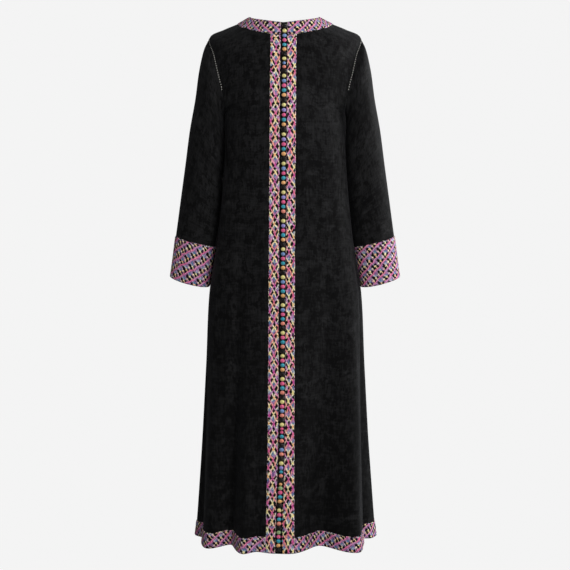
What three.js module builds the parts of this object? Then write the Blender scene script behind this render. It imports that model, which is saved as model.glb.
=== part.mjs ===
// A full-length kaftan dress, filled out as it is worn and hollow inside. Two fronts meet edge to edge at
// the centre front, where a column of silk ball buttons stands between two woven bands. The same woven tape
// goes round the neck and the hem, and a deeper woven cuff ends each sleeve.
//
// Millimetres, +Z up. The front faces -Y, and +X is the wearer's left. The origin lies midway between the
// high shoulder points, where the neckline meets the shoulder seams. A "drop" is a distance below it.
import * as THREE from "three";

// ---- Driving dimensions

const CLOTH = 2; // thickness of the garment cloth
const TAPE = 1.2; // thickness of the woven tape and cuffs
const SEAM_GAP = 0.6; // two pieces at a seam
const LAID_GAP = 0.4; // a piece and what it lies on
const BUTTON_LANE = 7.6; // centre front to the inner edge of a front band
const BAND_EDGE = 36; // centre front to the outer edge of a front band
const DROP_CURVE = 1.3; // how a section's drop eases from its middle to its outer edge

// Turns rows of numbers into objects that hold them under the columns' names.
function table(columns, rows) {
  return rows.map((row) => Object.fromEntries(columns.map((name, i) => [name, row[i]])));
}

// Cross-sections of the body from the neck edge to the hem. Each runs from the centre front, or the centre
// back, to the outer edge: along the shoulder seam, down the armhole, then down the side seam. The wrap is
// how many degrees of an ellipse the section covers.
const SECTIONS = table(
  ["frontDrop", "frontY", "backDrop", "backY", "edgeDrop",
    "frontX", "frontEdgeY", "backX", "backEdgeY", "frontWrap", "backWrap"],
  [
    [33, -94, 18, 62, 0, 90, 0, 90, 0, 90, 90], // neck edge
    [69, -103, 52, 73, 17, 123, 2, 123, 2, 90, 90], // lower edge of the neck tape
    [99, -110, 82, 83, 32, 160, 4, 160, 4, 90, 90], // middle of the shoulder
    [128, -117, 108, 91, 53, 198, 5, 198, 5, 84, 84], // shoulder tip
    [156, -122, 136, 97, 105, 185, -36, 188, 36, 66, 70],
    [183, -127, 165, 101, 150, 175, -55, 181, 51, 56, 62],
    [210, -130, 195, 104, 195, 164, -63, 174, 56, 54, 60], // middle of the armhole
    [239, -133, 228, 106, 241, 156, -55, 166, 34, 64, 70],
    [266, -134, 262, 107, 263, 155, -24, 155, -24, 90, 90], // underarm
    [330, -134, 330, 106, 330, 154, -46, 154, -46, 90, 90],
    [430, -131, 430, 103, 430, 159, -52, 159, -52, 90, 90], // waist
    [570, -132, 570, 110, 570, 173, -52, 173, -52, 90, 90],
    [720, -141, 720, 122, 720, 197.5, -32, 197.5, -32, 90, 90],
    [900, -156, 900, 138, 900, 207, -8, 207, -8, 90, 90],
    [1080, -172, 1080, 155, 1080, 216, 0, 216, 0, 90, 90],
    [1240, -187, 1236, 170, 1236, 225, 0, 225, 0, 90, 90],
    [1320, -195, 1313, 178, 1313, 230, 0, 230, 0, 90, 90], // upper edge of the hem tape
    [1358, -199, 1351, 182, 1351, 234, 0, 234, 0, 90, 90], // hem
  ],
);
const TAPE_ROW = 1;
const SHOULDER_ROW = 3;
const UNDERARM_ROW = 8;
const HEM_TAPE_ROW = 16;
const HEM_ROW = 17;

// Rows of the panels' grids, as places in the table above: half steps round the armhole and in the skirt.
const GRID_ROWS = [0, 1, 2, 3, 3.5, 4, 4.5, 5, 5.5, 6, 6.5, 7, 7.5, 8, 9, 10, 11, 11.5, 12, 12.5, 13, 13.5,
  14, 14.5, 15, 16, 17];
// Columns past the front band, and from the centre back, as shares of the way to the outer edge.
const FRONT_SHARES = [0.09, 0.18, 0.26, 0.34, 0.44, 0.56, 0.69, 0.84, 1];
const BACK_SHARES = [0.12, 0.23, 0.34, 0.46, 0.58, 0.7, 0.84, 1];

// The skirt's folds. "around" is a fold's place at the hem: 0 at the centre front, 1 at the side seam and 2
// at the centre back. "further" is added to it where the fold starts, and fades out towards the hem. A fold's
// spread differs towards the centre front and away from it. Its depth at the hem is above zero where the
// cloth stands out, and it grows from the drop where it starts.
const FOLDS = table(
  ["side", "around", "further", "spreadIn", "spreadOut", "depth", "start"],
  [
    [-1, 0.16, 0, 0.08, 0.06, -10, 760],
    [-1, 0.28, 0, 0.06, 0.07, 14, 700],
    [-1, 0.42, -0.05, 0.07, 0.1, -34, 520],
    [-1, 0.58, 0.18, 0.09, 0.1, 20, 480],
    [-1, 0.84, 0.1, 0.08, 0.1, -18, 520],
    [-1, 1.2, 0, 0.11, 0.1, 10, 760],
    [-1, 1.42, 0, 0.11, 0.13, -34, 640],
    [-1, 1.72, 0, 0.13, 0.12, 14, 700],
    [1, 0.26, 0.14, 0.1, 0.12, -44, 620],
    [1, 0.5, 0.22, 0.12, 0.09, 36, 480],
    [1, 0.75, 0.17, 0.08, 0.1, -24, 520],
    [1, 1.16, 0, 0.1, 0.12, 10, 800],
    [1, 1.5, 0, 0.13, 0.12, -38, 600],
    [1, 1.78, 0, 0.12, 0.12, 12, 760],
  ],
);
const FOLD_SAG = 0.14; // how far a fold hangs lower where it stands out, and higher where it is drawn in

// Rings of the sleeve past the armhole, by their outermost and innermost points. "low" is how far the ring's
// front hangs below its back half.
const SLEEVE_RINGS = table(
  ["outerX", "outerDrop", "innerX", "innerDrop", "middleY", "halfDepth", "low"],
  [
    [211, 86, 157, 279, -2, 63, 0],
    [224, 143, 154, 312, -2, 62, 0],
    [233.5, 215, 153, 355, -2, 60, 0],
    [248, 297, 157, 414, -2, 58, 1],
    [259.5, 385, 162.5, 479, -3, 55, 2],
    [271.5, 473, 170.5, 541, -4, 52, 4],
    [284.5, 571, 178.5, 598, -5, 48, 7], // upper edge of the cuff
    [291, 623, 187.5, 650, -5, 45, 8],
    [298.2, 676, 197.5, 702, -5, 43, 9], // end of the sleeve
  ],
);
const CUFF_RING = 7;

// The buttons of each run, from one black button (K) to the last before the next. A letter is a button's
// silk: yellow, blue, lavender, pink, turquoise, orange, salmon or green. A small letter is a smaller button.
const BUTTON_RUNS = ["KYBPTO", "KYbs", "KYBPTO", "KYLPTO", "KYLPTO", "KYBPTO", "KYLPTS", "KYLPTO", "KYBPTO",
  "KYBPTO", "KYBPTS", "KYPTS", "KYPTO", "KYPTS", "KYPBS", "KYppTS", "KBS", "KYLtS", "KoGPTO", "KYPTS",
  "KGPTO", "K"];
const SMALL_BUTTON = 0.8; // a smaller button's size and room, as a share of the others'
const YELLOW_ROOM = 1.1; // the room that a yellow button takes in the column
const BLACK_SIZE = 1.08;
const HEM_PITCH = 0.85; // the pitch at the hem, as a share of that at the neck
const BUTTON_HALF_WIDTH = 6.1;
const BUTTON_HALF_DEPTH = 5.6;
const BUTTON_SIDES = 6;
const BUTTON_FLAT = Math.cos(Math.PI / BUTTON_SIDES); // how far out a ball's flat sides are, as a share
const FIRST_BUTTON = 13.8; // neck edge to the first button's centre
const LAST_BUTTON = 10; // last button's centre to the hem
// A button's outline, as shares of the pitch from its centre and of its half width.
const BUTTON_OUTLINE = table(
  ["along", "radius"],
  [[-0.5, 0.3], [-0.27, 0.84], [0, 1], [0.27, 0.84], [0.5, 0.3]],
);

// ---- Materials

function cloth(color, roughness) {
  return new THREE.MeshStandardMaterial({ color, roughness, metalness: 0, side: THREE.DoubleSide });
}
const JACQUARD = cloth(0x141415, 0.85);
const WOVEN_TAPE = cloth(0xa9829c, 0.8);
const SILKS = [0x1a1618, 0xe0c878, 0x7d93c4, 0xd9628c, 0x3fa3b8, 0xe8a06c].map((color) => cloth(color, 0.6));

// ---- Small helpers

const point = (x, y, drop) => new THREE.Vector3(x, y, -drop);

// A value from one column of a table at a place between its rows, on a smooth curve through the rows.
function columnAt(rows, name, place) {
  const last = rows.length - 1;
  const i = Math.min(last - 1, Math.max(0, Math.floor(place)));
  const t = place - i;
  const at = (k) => rows[Math.min(last, Math.max(0, k))][name];
  const [before, a, b, after] = [at(i - 1), at(i), at(i + 1), at(i + 2)];
  const leave = i === 0 ? b - a : (b - before) / 2;
  const arrive = i === last - 1 ? b - a : (after - a) / 2;
  return a + t * (leave + t * (3 * (b - a) - 2 * leave - arrive + t * (leave + arrive - 2 * (b - a))));
}

// ---- The body's surface

// How far the skirt's folds move the cloth outwards.
function foldDepth(side, around, drop) {
  const hem = SECTIONS[HEM_ROW].edgeDrop;
  return FOLDS.filter((fold) => fold.side === side && drop > fold.start).reduce((sum, fold) => {
    const down = Math.min(1, (drop - fold.start) / (hem - fold.start));
    const middle = fold.around + fold.further * (1 - down);
    const spread = around < middle ? fold.spreadIn : fold.spreadOut;
    return sum + fold.depth * down ** 1.4 * Math.exp(-(((around - middle) / spread) ** 2));
  }, 0);
}

// The half body's outer surface. share is 0 at the centre front or back and 1 at the outer edge.
function bodyPoint(face, side, share, row) {
  const value = (name) => columnAt(SECTIONS, name, row);
  const wrap = THREE.MathUtils.degToRad(value(face + "Wrap"));
  const angle = share * wrap;
  const across = Math.sin(angle) / Math.sin(wrap);
  const inward = (Math.cos(angle) - Math.cos(wrap)) / (1 - Math.cos(wrap));
  const edgeY = value(face + "EdgeY");
  const edgeDrop = value("edgeDrop");
  const even = edgeDrop + (value(face + "Drop") - edgeDrop) * (1 - share ** DROP_CURVE);
  const flat = new THREE.Vector2(
    value(face + "X") * across,
    edgeY + (value(face + "Y") - edgeY) * inward,
  );
  const depth = foldDepth(side, face === "front" ? share : 2 - share, even);
  const heading = (share ** 2 * Math.PI) / 2;
  flat.x += depth * Math.sin(heading);
  flat.y += depth * Math.cos(heading) * (face === "front" ? -1 : 1);
  return point(side * flat.x, flat.y, even + depth * FOLD_SAG);
}

// The share of a front section that lies a given distance from the centre front.
function shareAtDistance(row, distance) {
  const wrap = THREE.MathUtils.degToRad(columnAt(SECTIONS, "frontWrap", row));
  return Math.asin((distance * Math.sin(wrap)) / columnAt(SECTIONS, "frontX", row)) / wrap;
}

// Points of a front, row by row. The first columns are the centre front and the front band's two edges.
const LANE_COLUMN = 1;
const BAND_COLUMN = 2;
const frontPoints = (side) => GRID_ROWS.map((row) => {
  const bandShare = shareAtDistance(row, BAND_EDGE);
  const shares = [0, shareAtDistance(row, BUTTON_LANE), bandShare];
  FRONT_SHARES.forEach((share) => shares.push(bandShare + (1 - bandShare) * share));
  return shares.map((share) => bodyPoint("front", side, share, row));
});

// Points of the back, each row from the wearer's right edge to the left one.
const backPoints = () => GRID_ROWS.map((row) => {
  const half = (side) => BACK_SHARES.map((share) => bodyPoint("back", side, share, row));
  return [...half(-1).reverse(), bodyPoint("back", 1, 0, row), ...half(1)];
});

// ---- The sleeve's surface

// The armhole's edge as a loop of grid rows: down the front from the shoulder tip, then up the back.
const SHOULDER_LINE = GRID_ROWS.indexOf(SHOULDER_ROW);
const UNDERARM_LINE = GRID_ROWS.indexOf(UNDERARM_ROW);
const ARMHOLE_LINES = GRID_ROWS.map((row, line) => line).slice(SHOULDER_LINE, UNDERARM_LINE + 1);
const ARMHOLE_LOOP = [
  ...ARMHOLE_LINES.map((line) => ({ face: "front", line })),
  ...ARMHOLE_LINES.slice(1, -1).reverse().map((line) => ({ face: "back", line })),
];

// One ring of the sleeve, with as many points as the armhole's loop and in the same order.
function sleeveRing(side, ring) {
  const outer = point(side * ring.outerX, ring.middleY, ring.outerDrop);
  const inner = point(side * ring.innerX, ring.middleY, ring.innerDrop);
  const middle = outer.clone().add(inner).multiplyScalar(0.5);
  const reach = outer.clone().sub(middle);
  const forward = point(0, -ring.halfDepth, ring.low);
  return ARMHOLE_LOOP.map((place, k) => {
    const angle = (2 * Math.PI * k) / ARMHOLE_LOOP.length;
    return middle.clone().addScaledVector(reach, Math.cos(angle)).addScaledVector(forward, Math.sin(angle));
  });
}

// The sleeve's points, ring by ring from the armhole.
const sleevePoints = (side) => [
  ARMHOLE_LOOP.map(({ face, line }) => bodyPoint(face, side, 1, GRID_ROWS[line])),
  ...SLEEVE_RINGS.map((ring) => sleeveRing(side, ring)),
];

// ---- Which way the cloth thickens

// The surfaces: their points, whether each row closes on itself, and the turn that makes its normals point
// outwards. The fronts and sleeves are found by their side.
const SIDES = [1, -1];
const BACK = { points: backPoints(), closed: false, turn: 1 };
const FRONT = new Map(
  SIDES.map((side) => [side, { points: frontPoints(side), closed: false, turn: -side }]),
);
const SLEEVE = new Map(
  SIDES.map((side) => [side, { points: sleevePoints(side), closed: true, turn: side }]),
);

// The outward normals of the facets on either side of a point of a surface, along its row.
function facetNormals({ points, closed, turn }, i, j) {
  const line = points[i];
  const down = points[Math.min(i + 1, points.length - 1)][j].clone().sub(points[Math.max(i - 1, 0)][j]);
  const ends = [[j - 1, j], [j, j + 1]].filter(([from, to]) => closed || (from >= 0 && to < line.length));
  return ends.map(([from, to]) => {
    const across = line[to % line.length].clone().sub(line[(from + line.length) % line.length]);
    return across.cross(down).normalize().multiplyScalar(turn);
  });
}

// The direction in which everything that meets at a point thickens, from the facets' normals there. It is as
// long as keeps each piece's full thickness.
function meeting(normals) {
  const sum = normals.reduce((total, normal) => total.add(normal), new THREE.Vector3());
  return sum.multiplyScalar(normals.length / sum.lengthSq());
}
const unitNormal = (surface, i, j) => meeting(facetNormals(surface, i, j)).normalize();

// The outer edge of a front or of the back.
const edgeNormals = (face, side, line) =>
  face === "front"
    ? facetNormals(FRONT.get(side), line, FRONT.get(side).points[line].length - 1)
    : facetNormals(BACK, line, side > 0 ? BACK.points[line].length - 1 : 0);

// The armhole seam at one place of its loop. Where the sleeve leaves it in a fold deeper than a right angle,
// each piece thickens its own way and the sleeve stands a little further off.
function armholeSeam(side, k) {
  const { face, line } = ARMHOLE_LOOP[k];
  const faces = line === UNDERARM_LINE || line === SHOULDER_LINE ? ["front", "back"] : [face];
  const normals = faces.flatMap((one) => edgeNormals(one, side, line));
  const sleeve = unitNormal(SLEEVE.get(side), 0, k);
  const body = meeting(normals);
  const facing = body.clone().normalize().dot(sleeve);
  const off = new THREE.Vector3();
  if (facing > 0) return { body: meeting([...normals, sleeve]), sleeve: meeting([...normals, sleeve]), off };
  return { body, sleeve, off: off.addScaledVector(body, (SEAM_GAP * (1 - facing)) / 2) };
}

// The direction at the outer edge of a front or of the back.
function edgeDirection(face, side, line) {
  const k = ARMHOLE_LOOP.findIndex((place) => place.line === line && place.face === face);
  if (k >= 0) return armholeSeam(side, k).body;
  if (line === UNDERARM_LINE || line === SHOULDER_LINE) return edgeDirection("front", side, line);
  return meeting([...edgeNormals("front", side, line), ...edgeNormals("back", side, line)]);
}

// A grid: the surface's points, each with the direction in which the cloth there thickens outwards.
function frontGrid(side) {
  const surface = FRONT.get(side);
  return surface.points.map((row, i) => row.map((at, j) => {
    const normals = facetNormals(surface, i, j);
    if (j === 0) normals.push(normals[0].clone().setX(-normals[0].x));
    return { at, normal: j === row.length - 1 ? edgeDirection("front", side, i) : meeting(normals) };
  }));
}

const backGrid = () => BACK.points.map((row, i) => row.map((at, j) => {
  const edge = j === 0 || j === row.length - 1;
  const side = j === 0 ? -1 : 1;
  return { at, normal: edge ? edgeDirection("back", side, i) : meeting(facetNormals(BACK, i, j)) };
}));

function sleeveGrid(side) {
  const surface = SLEEVE.get(side);
  return surface.points.map((ring, i) => ring.map((at, k) => {
    if (i > 0) return { at, normal: meeting(facetNormals(surface, i, k)) };
    const seam = armholeSeam(side, k);
    return { at: at.clone().add(seam.off), normal: seam.sleeve };
  }));
}

// ---- Walls of cloth

// How to move a border's point inwards, towards the next point, by half a seam's gap square to the border.
function pullIn(p, next, before, after) {
  const inwards = next.clone().sub(p).normalize();
  const along = after.clone().sub(before).normalize();
  return inwards.multiplyScalar(SEAM_GAP / 2 / Math.max(0.35, along.cross(inwards).length()));
}

// Moves the grid's border in. A closed ring has only its first and last rows as borders.
function trimBorder(points, closed) {
  const rows = points.length - 1;
  const columns = points[0].length - 1;
  const before = (j) => (j > 0 ? j - 1 : closed ? columns : 0);
  const after = (j) => (j < columns ? j + 1 : closed ? 0 : columns);
  return points.map((line, i) => line.map((p, j) => {
    const trimmed = p.clone();
    if (i === 0 || i === rows) {
      trimmed.add(pullIn(p, points[i === 0 ? 1 : rows - 1][j], line[before(j)], line[after(j)]));
    }
    if (!closed && (j === 0 || j === columns)) {
      const [above, below] = [points[Math.max(0, i - 1)][j], points[Math.min(rows, i + 1)][j]];
      trimmed.add(pullIn(p, line[j === 0 ? 1 : columns - 1], above, below));
    }
    return trimmed;
  }));
}

// One closed solid between an outer and an inner grid of points. The faces of its rim are split from the
// outer point of the higher end to the inner point of the lower one, so that the rims at a seam match.
function wall(outer, inner, closed) {
  const rows = outer.length;
  const columns = outer[0].length;
  const spans = closed ? columns : columns - 1;
  const points = [...outer.flat(), ...inner.flat()];
  const out = (i, j) => i * columns + (j % columns);
  const into = (i, j) => rows * columns + out(i, j);
  const faces = [];
  const rim = (a, b, intoA, intoB) => {
    if (points[a].z >= points[b].z) faces.push(a, b, intoB, a, intoB, intoA);
    else faces.push(a, b, intoA, b, intoB, intoA);
  };
  for (let i = 0; i < rows - 1; i++) {
    for (let j = 0; j < spans; j++) {
      faces.push(out(i, j), out(i + 1, j), out(i + 1, j + 1), out(i, j), out(i + 1, j + 1), out(i, j + 1));
      faces.push(into(i, j), into(i + 1, j + 1), into(i + 1, j));
      faces.push(into(i, j), into(i, j + 1), into(i + 1, j + 1));
    }
    if (!closed) {
      rim(out(i + 1, 0), out(i, 0), into(i + 1, 0), into(i, 0));
      rim(out(i, spans), out(i + 1, spans), into(i, spans), into(i + 1, spans));
    }
  }
  for (let j = 0; j < spans; j++) {
    rim(out(0, j), out(0, j + 1), into(0, j), into(0, j + 1));
    rim(out(rows - 1, j + 1), out(rows - 1, j), into(rows - 1, j + 1), into(rows - 1, j));
  }
  return facingOut(points.flatMap((p) => p.toArray()), faces);
}

// A geometry from positions and faces, turned so that its faces point outwards.
function facingOut(positions, faces) {
  const corner = (k) => new THREE.Vector3().fromArray(positions, 3 * faces[k]);
  let volume = 0;
  for (let k = 0; k < faces.length; k += 3) {
    volume += corner(k).dot(corner(k + 1).cross(corner(k + 2)));
  }
  if (volume < 0) faces.reverse();
  const geometry = new THREE.BufferGeometry();
  geometry.setAttribute("position", new THREE.Float32BufferAttribute(positions, 3));
  geometry.setIndex(faces);
  geometry.computeVertexNormals();
  return geometry;
}

// The grid's points, moved along their normals.
const moved = (grid, distance) =>
  grid.map((line) => line.map((node) => node.at.clone().addScaledVector(node.normal, distance)));

// A panel of the garment's cloth, which lies inside its grid.
const panel = (grid, closed = false) =>
  wall(trimBorder(moved(grid, 0), closed), trimBorder(moved(grid, -CLOTH), closed), closed);

// A piece of tape laid on part of a panel's grid.
const laid = (grid, closed = false) =>
  wall(
    trimBorder(moved(grid, LAID_GAP + TAPE), closed),
    trimBorder(moved(grid, LAID_GAP), closed),
    closed,
  );

// The part of a grid between two rows and two columns, both included.
const gridPart = (grid, firstRow, lastRow, firstColumn = 0, lastColumn = Infinity) =>
  grid.slice(firstRow, lastRow + 1).map((line) => line.slice(firstColumn, lastColumn + 1));

// ---- The button column

// The centre front as a line over the panels' facets, with the distance along it and the outward normal.
function centreFrontLine() {
  let travelled = 0;
  return frontGrid(1).map(([{ at, normal }], i, grid) => {
    if (i > 0) travelled += at.distanceTo(grid[i - 1][0].at);
    return { at, normal, travelled };
  });
}

// The point and the normal at a distance along that line.
function placeOnLine(line, distance) {
  const next = Math.max(1, line.findIndex((node) => node.travelled >= distance));
  const [a, b] = [line[next - 1], line[next]];
  const t = (distance - a.travelled) / (b.travelled - a.travelled);
  return { at: a.at.clone().lerp(b.at, t), normal: a.normal.clone().lerp(b.normal, t).normalize() };
}

const isSmall = (letter) => letter === letter.toLowerCase();
const roomOf = (letter) => (isSmall(letter) ? SMALL_BUTTON : letter === "Y" ? YELLOW_ROOM : 1);
const sizeOf = (letter) => (isSmall(letter) ? SMALL_BUTTON : letter === "K" ? BLACK_SIZE : 1);

// Where each button of the column stands along the centre front.
function buttonStations(letters, length) {
  const stations = [0];
  for (let k = 1; k < letters.length; k++) {
    const pace = 1 + ((HEM_PITCH - 1) * (k - 1)) / (letters.length - 2);
    stations.push(stations[k - 1] + (pace * (roomOf(letters[k - 1]) + roomOf(letters[k]))) / 2);
  }
  const whole = stations[stations.length - 1];
  return stations.map((station) => FIRST_BUTTON + (station * length) / whole);
}

// A run of buttons, from the first one's place in the column: one solid, narrow between its buttons.
function buttonRun(line, letters, stations, first, count) {
  const rings = Array.from({ length: count }, (_, k) => first + k).flatMap((i, k) => {
    const before = stations[Math.max(i, 1)] - stations[Math.max(i, 1) - 1];
    const after = i + 1 < stations.length ? stations[i + 1] - stations[i] : before;
    const outline = k === 0 ? BUTTON_OUTLINE : BUTTON_OUTLINE.slice(1);
    return outline.map(({ along, radius }) => ({
      distance: stations[i] + along * (along < 0 ? before : after),
      radius: radius * sizeOf(letters[i]),
    }));
  });
  rings[0].distance += SEAM_GAP / 2;
  rings[rings.length - 1].distance -= SEAM_GAP / 2;
  const sideways = new THREE.Vector3(1, 0, 0);
  const points = rings.flatMap(({ distance, radius }) => {
    const { at, normal } = placeOnLine(line, distance);
    const centre = at.addScaledVector(normal, LAID_GAP + BLACK_SIZE * BUTTON_HALF_DEPTH * BUTTON_FLAT);
    return Array.from({ length: BUTTON_SIDES }, (_, k) => {
      const angle = (2 * Math.PI * k) / BUTTON_SIDES;
      return centre.clone()
        .addScaledVector(sideways, Math.cos(angle) * radius * BUTTON_HALF_WIDTH)
        .addScaledVector(normal, Math.sin(angle) * radius * BUTTON_HALF_DEPTH);
    });
  });
  const faces = [];
  for (let i = 0; i < rings.length - 1; i++) {
    for (let k = 0; k < BUTTON_SIDES; k++) {
      const here = i * BUTTON_SIDES;
      const next = (k + 1) % BUTTON_SIDES;
      const [a, b] = [here + k, here + next];
      faces.push(a, b, b + BUTTON_SIDES, a, b + BUTTON_SIDES, a + BUTTON_SIDES);
    }
  }
  const end = (rings.length - 1) * BUTTON_SIDES;
  for (let k = 1; k < BUTTON_SIDES - 1; k++) {
    faces.push(0, k + 1, k, end, end + k, end + k + 1);
  }
  return facingOut(points.flatMap((p) => p.toArray()), faces);
}

// ---- The garment

const kaftan = new THREE.Group();

function add(name, geometry, material) {
  const mesh = new THREE.Mesh(geometry, material);
  mesh.name = name;
  kaftan.add(mesh);
}

const tapeRow = GRID_ROWS.indexOf(TAPE_ROW);
const hemTapeRow = GRID_ROWS.indexOf(HEM_TAPE_ROW);
const hemRow = GRID_ROWS.indexOf(HEM_ROW);

for (const [name, side] of [["left", 1], ["right", -1]]) {
  const front = frontGrid(side);
  add(`front_${name}`, panel(front), JACQUARD);
  add(`neck_tape_front_${name}`, laid(gridPart(front, 0, tapeRow, LANE_COLUMN)), WOVEN_TAPE);
  add(`front_band_${name}`, laid(gridPart(front, tapeRow, hemRow, LANE_COLUMN, BAND_COLUMN)), WOVEN_TAPE);
  add(`hem_tape_front_${name}`, laid(gridPart(front, hemTapeRow, hemRow, BAND_COLUMN)), WOVEN_TAPE);

  const sleeve = sleeveGrid(side);
  add(`sleeve_${name}`, panel(sleeve, true), JACQUARD);
  add(`cuff_${name}`, laid(gridPart(sleeve, CUFF_RING, sleeve.length - 1), true), WOVEN_TAPE);
}

const back = backGrid();
add("back", panel(back), JACQUARD);
add("neck_tape_back", laid(gridPart(back, 0, tapeRow)), WOVEN_TAPE);
add("hem_tape_back", laid(gridPart(back, hemTapeRow, hemRow)), WOVEN_TAPE);

const centreFront = centreFrontLine();
const letters = BUTTON_RUNS.join("");
const columnLength = centreFront[centreFront.length - 1].travelled - FIRST_BUTTON - LAST_BUTTON;
const stations = buttonStations(letters, columnLength);
let placed = 0;
BUTTON_RUNS.forEach((run, i) => {
  const solid = buttonRun(centreFront, letters, stations, placed, run.length);
  add(`buttons_${String(i + 1).padStart(2, "0")}`, solid, SILKS[i % SILKS.length]);
  placed += run.length;
});

export default kaftan;
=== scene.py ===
# %% [markdown]
# # A kaftan dress
# A full-length dress is two fronts and a back that hang from the shoulders, two sleeves, and a woven tape
# sewn round its edges. Here it is filled out as when it is worn, and hollow. Each piece of cloth is one
# thin closed shell on the same measured surface, so neighbours meet at their seams without any fitting.

import math
from functools import partial

import bpy
import numpy as np
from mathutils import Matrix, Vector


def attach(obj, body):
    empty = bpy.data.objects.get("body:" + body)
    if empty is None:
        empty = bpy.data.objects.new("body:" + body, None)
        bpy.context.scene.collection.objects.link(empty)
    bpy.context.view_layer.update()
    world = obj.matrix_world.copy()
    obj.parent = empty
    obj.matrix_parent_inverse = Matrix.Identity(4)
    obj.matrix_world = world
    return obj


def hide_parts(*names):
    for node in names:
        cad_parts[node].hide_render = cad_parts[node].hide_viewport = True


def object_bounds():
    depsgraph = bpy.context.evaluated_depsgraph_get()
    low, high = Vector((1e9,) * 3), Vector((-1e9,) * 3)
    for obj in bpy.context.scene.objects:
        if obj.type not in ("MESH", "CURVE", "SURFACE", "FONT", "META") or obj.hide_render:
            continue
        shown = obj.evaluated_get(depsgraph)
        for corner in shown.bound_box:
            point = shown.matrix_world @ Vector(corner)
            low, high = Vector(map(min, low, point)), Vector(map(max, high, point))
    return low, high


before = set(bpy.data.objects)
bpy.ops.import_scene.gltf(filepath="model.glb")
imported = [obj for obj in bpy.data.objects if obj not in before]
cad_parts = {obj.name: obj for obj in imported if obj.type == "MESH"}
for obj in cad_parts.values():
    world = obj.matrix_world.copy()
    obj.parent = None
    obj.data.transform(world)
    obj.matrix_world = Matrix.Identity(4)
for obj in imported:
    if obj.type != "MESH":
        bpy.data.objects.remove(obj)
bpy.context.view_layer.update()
MM = 0.001


def put(name, data):
    """A new object in the scene for a mesh, a lamp or a camera."""
    obj = bpy.data.objects.new(name, data)
    bpy.context.collection.objects.link(obj)
    return obj


def carry(mesh, name, values, domain="POINT"):
    """Gives each point or face a number or a direction, under a name that nodes can read."""
    values = np.asarray(values, np.float32)
    vector = values.ndim > 1
    layer = mesh.attributes.new(name, "FLOAT_VECTOR" if vector else "FLOAT", domain)
    layer.data.foreach_set("vector" if vector else "value", values.ravel())

# %% [markdown]
# ## Where the camera stands
# The dress is seen straight from the front, from about as far as a person would stand back. The camera
# comes first, because everything else is judged through it.

# %% Camera
CAMERA_DISTANCE = 3.2
CAMERA_HEIGHT = -0.699
VIEW_HALF = 0.74385  # half of what the view takes in at the dress's middle, in metres

camera_data = bpy.data.cameras.new("camera")
camera_data.sensor_width = 36.0
camera_data.lens = camera_data.sensor_width / 2 / (VIEW_HALF / CAMERA_DISTANCE)
camera = put("camera", camera_data)
camera.location = (0.0, -CAMERA_DISTANCE, CAMERA_HEIGHT)
camera.rotation_euler = (math.pi / 2, 0.0, 0.0)
bpy.context.scene.camera = camera
print("lens", round(camera_data.lens, 2), "mm")

# %% [markdown]
# ## The body's surface
# A pattern cutter thinks of a dress as cross-sections: how wide and how deep it is at the neck, the
# shoulder, the waist and the hem. The table holds those sections, and a smooth curve runs through each
# column. It could be sculpted by hand, but a rule lets the tape, the seams and the buttons find the very
# same surface.

# %% Cross-sections
COLUMNS = ["frontDrop", "frontY", "backDrop", "backY", "edgeDrop",
           "frontX", "frontEdgeY", "backX", "backEdgeY", "frontWrap", "backWrap"]
SECTIONS = np.array([
    [33, -94, 18, 62, 0, 90, 0, 90, 0, 90, 90],  # neck edge
    [69, -103, 52, 73, 17, 123, 2, 123, 2, 90, 90],  # lower edge of the neck tape
    [99, -110, 82, 83, 32, 160, 4, 160, 4, 90, 90],
    [128, -117, 108, 91, 53, 198, 5, 198, 5, 84, 84],  # shoulder tip
    [156, -122, 136, 97, 105, 185, -36, 188, 36, 66, 70],
    [183, -127, 165, 101, 150, 175, -55, 181, 51, 56, 62],
    [210, -130, 195, 104, 195, 164, -63, 174, 56, 54, 60],  # middle of the armhole
    [239, -133, 228, 106, 241, 156, -55, 166, 34, 64, 70],
    [266, -134, 262, 107, 263, 155, -24, 155, -24, 90, 90],  # underarm
    [330, -134, 330, 106, 330, 154, -46, 154, -46, 90, 90],
    [430, -131, 430, 103, 430, 159, -52, 159, -52, 90, 90],  # waist
    [570, -132, 570, 110, 570, 173, -52, 173, -52, 90, 90],
    [720, -141, 720, 122, 720, 197.5, -32, 197.5, -32, 90, 90],
    [900, -156, 900, 138, 900, 207, -8, 207, -8, 90, 90],
    [1080, -172, 1080, 155, 1080, 216, 0, 216, 0, 90, 90],
    [1240, -187, 1236, 170, 1236, 225, 0, 225, 0, 90, 90],
    [1320, -195, 1313, 178, 1313, 230, 0, 230, 0, 90, 90],  # upper edge of the hem tape
    [1358, -199, 1351, 182, 1351, 234, 0, 234, 0, 90, 90],  # hem
], float)
TAPE_ROW, SHOULDER_ROW, UNDERARM_ROW, HEM_TAPE_ROW, HEM_ROW = 1, 3, 8, 16, 17
DROP_CURVE = 1.3  # how a section's drop eases from its middle to its outer edge
STRAIGHTEST = 90  # a wrap of 90 degrees is a section whose outer edge points straight to the side
print("sections", SECTIONS.shape)

# %% The curve through them
def ease(four, t, at_start, at_end):
    """A smooth curve from the second of four neighbours in a table to the third."""
    before, a, b, after = four
    leave = np.where(at_start, b - a, (b - before) / 2)
    arrive = np.where(at_end, b - a, (after - a) / 2)
    return a + t * (leave + t * (3 * (b - a) - 2 * leave - arrive + t * (leave + arrive - 2 * (b - a))))


def through(values, place):
    """A value at a place between a table's rows, on a smooth curve through them."""
    place = np.asarray(place, float)
    last = len(values) - 1
    i = np.clip(np.floor(place).astype(int), 0, last - 1)
    four = [values[np.clip(i + k, 0, last)] for k in (-1, 0, 1, 2)]
    return ease(four, place - i, i == 0, i == last - 1)


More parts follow.
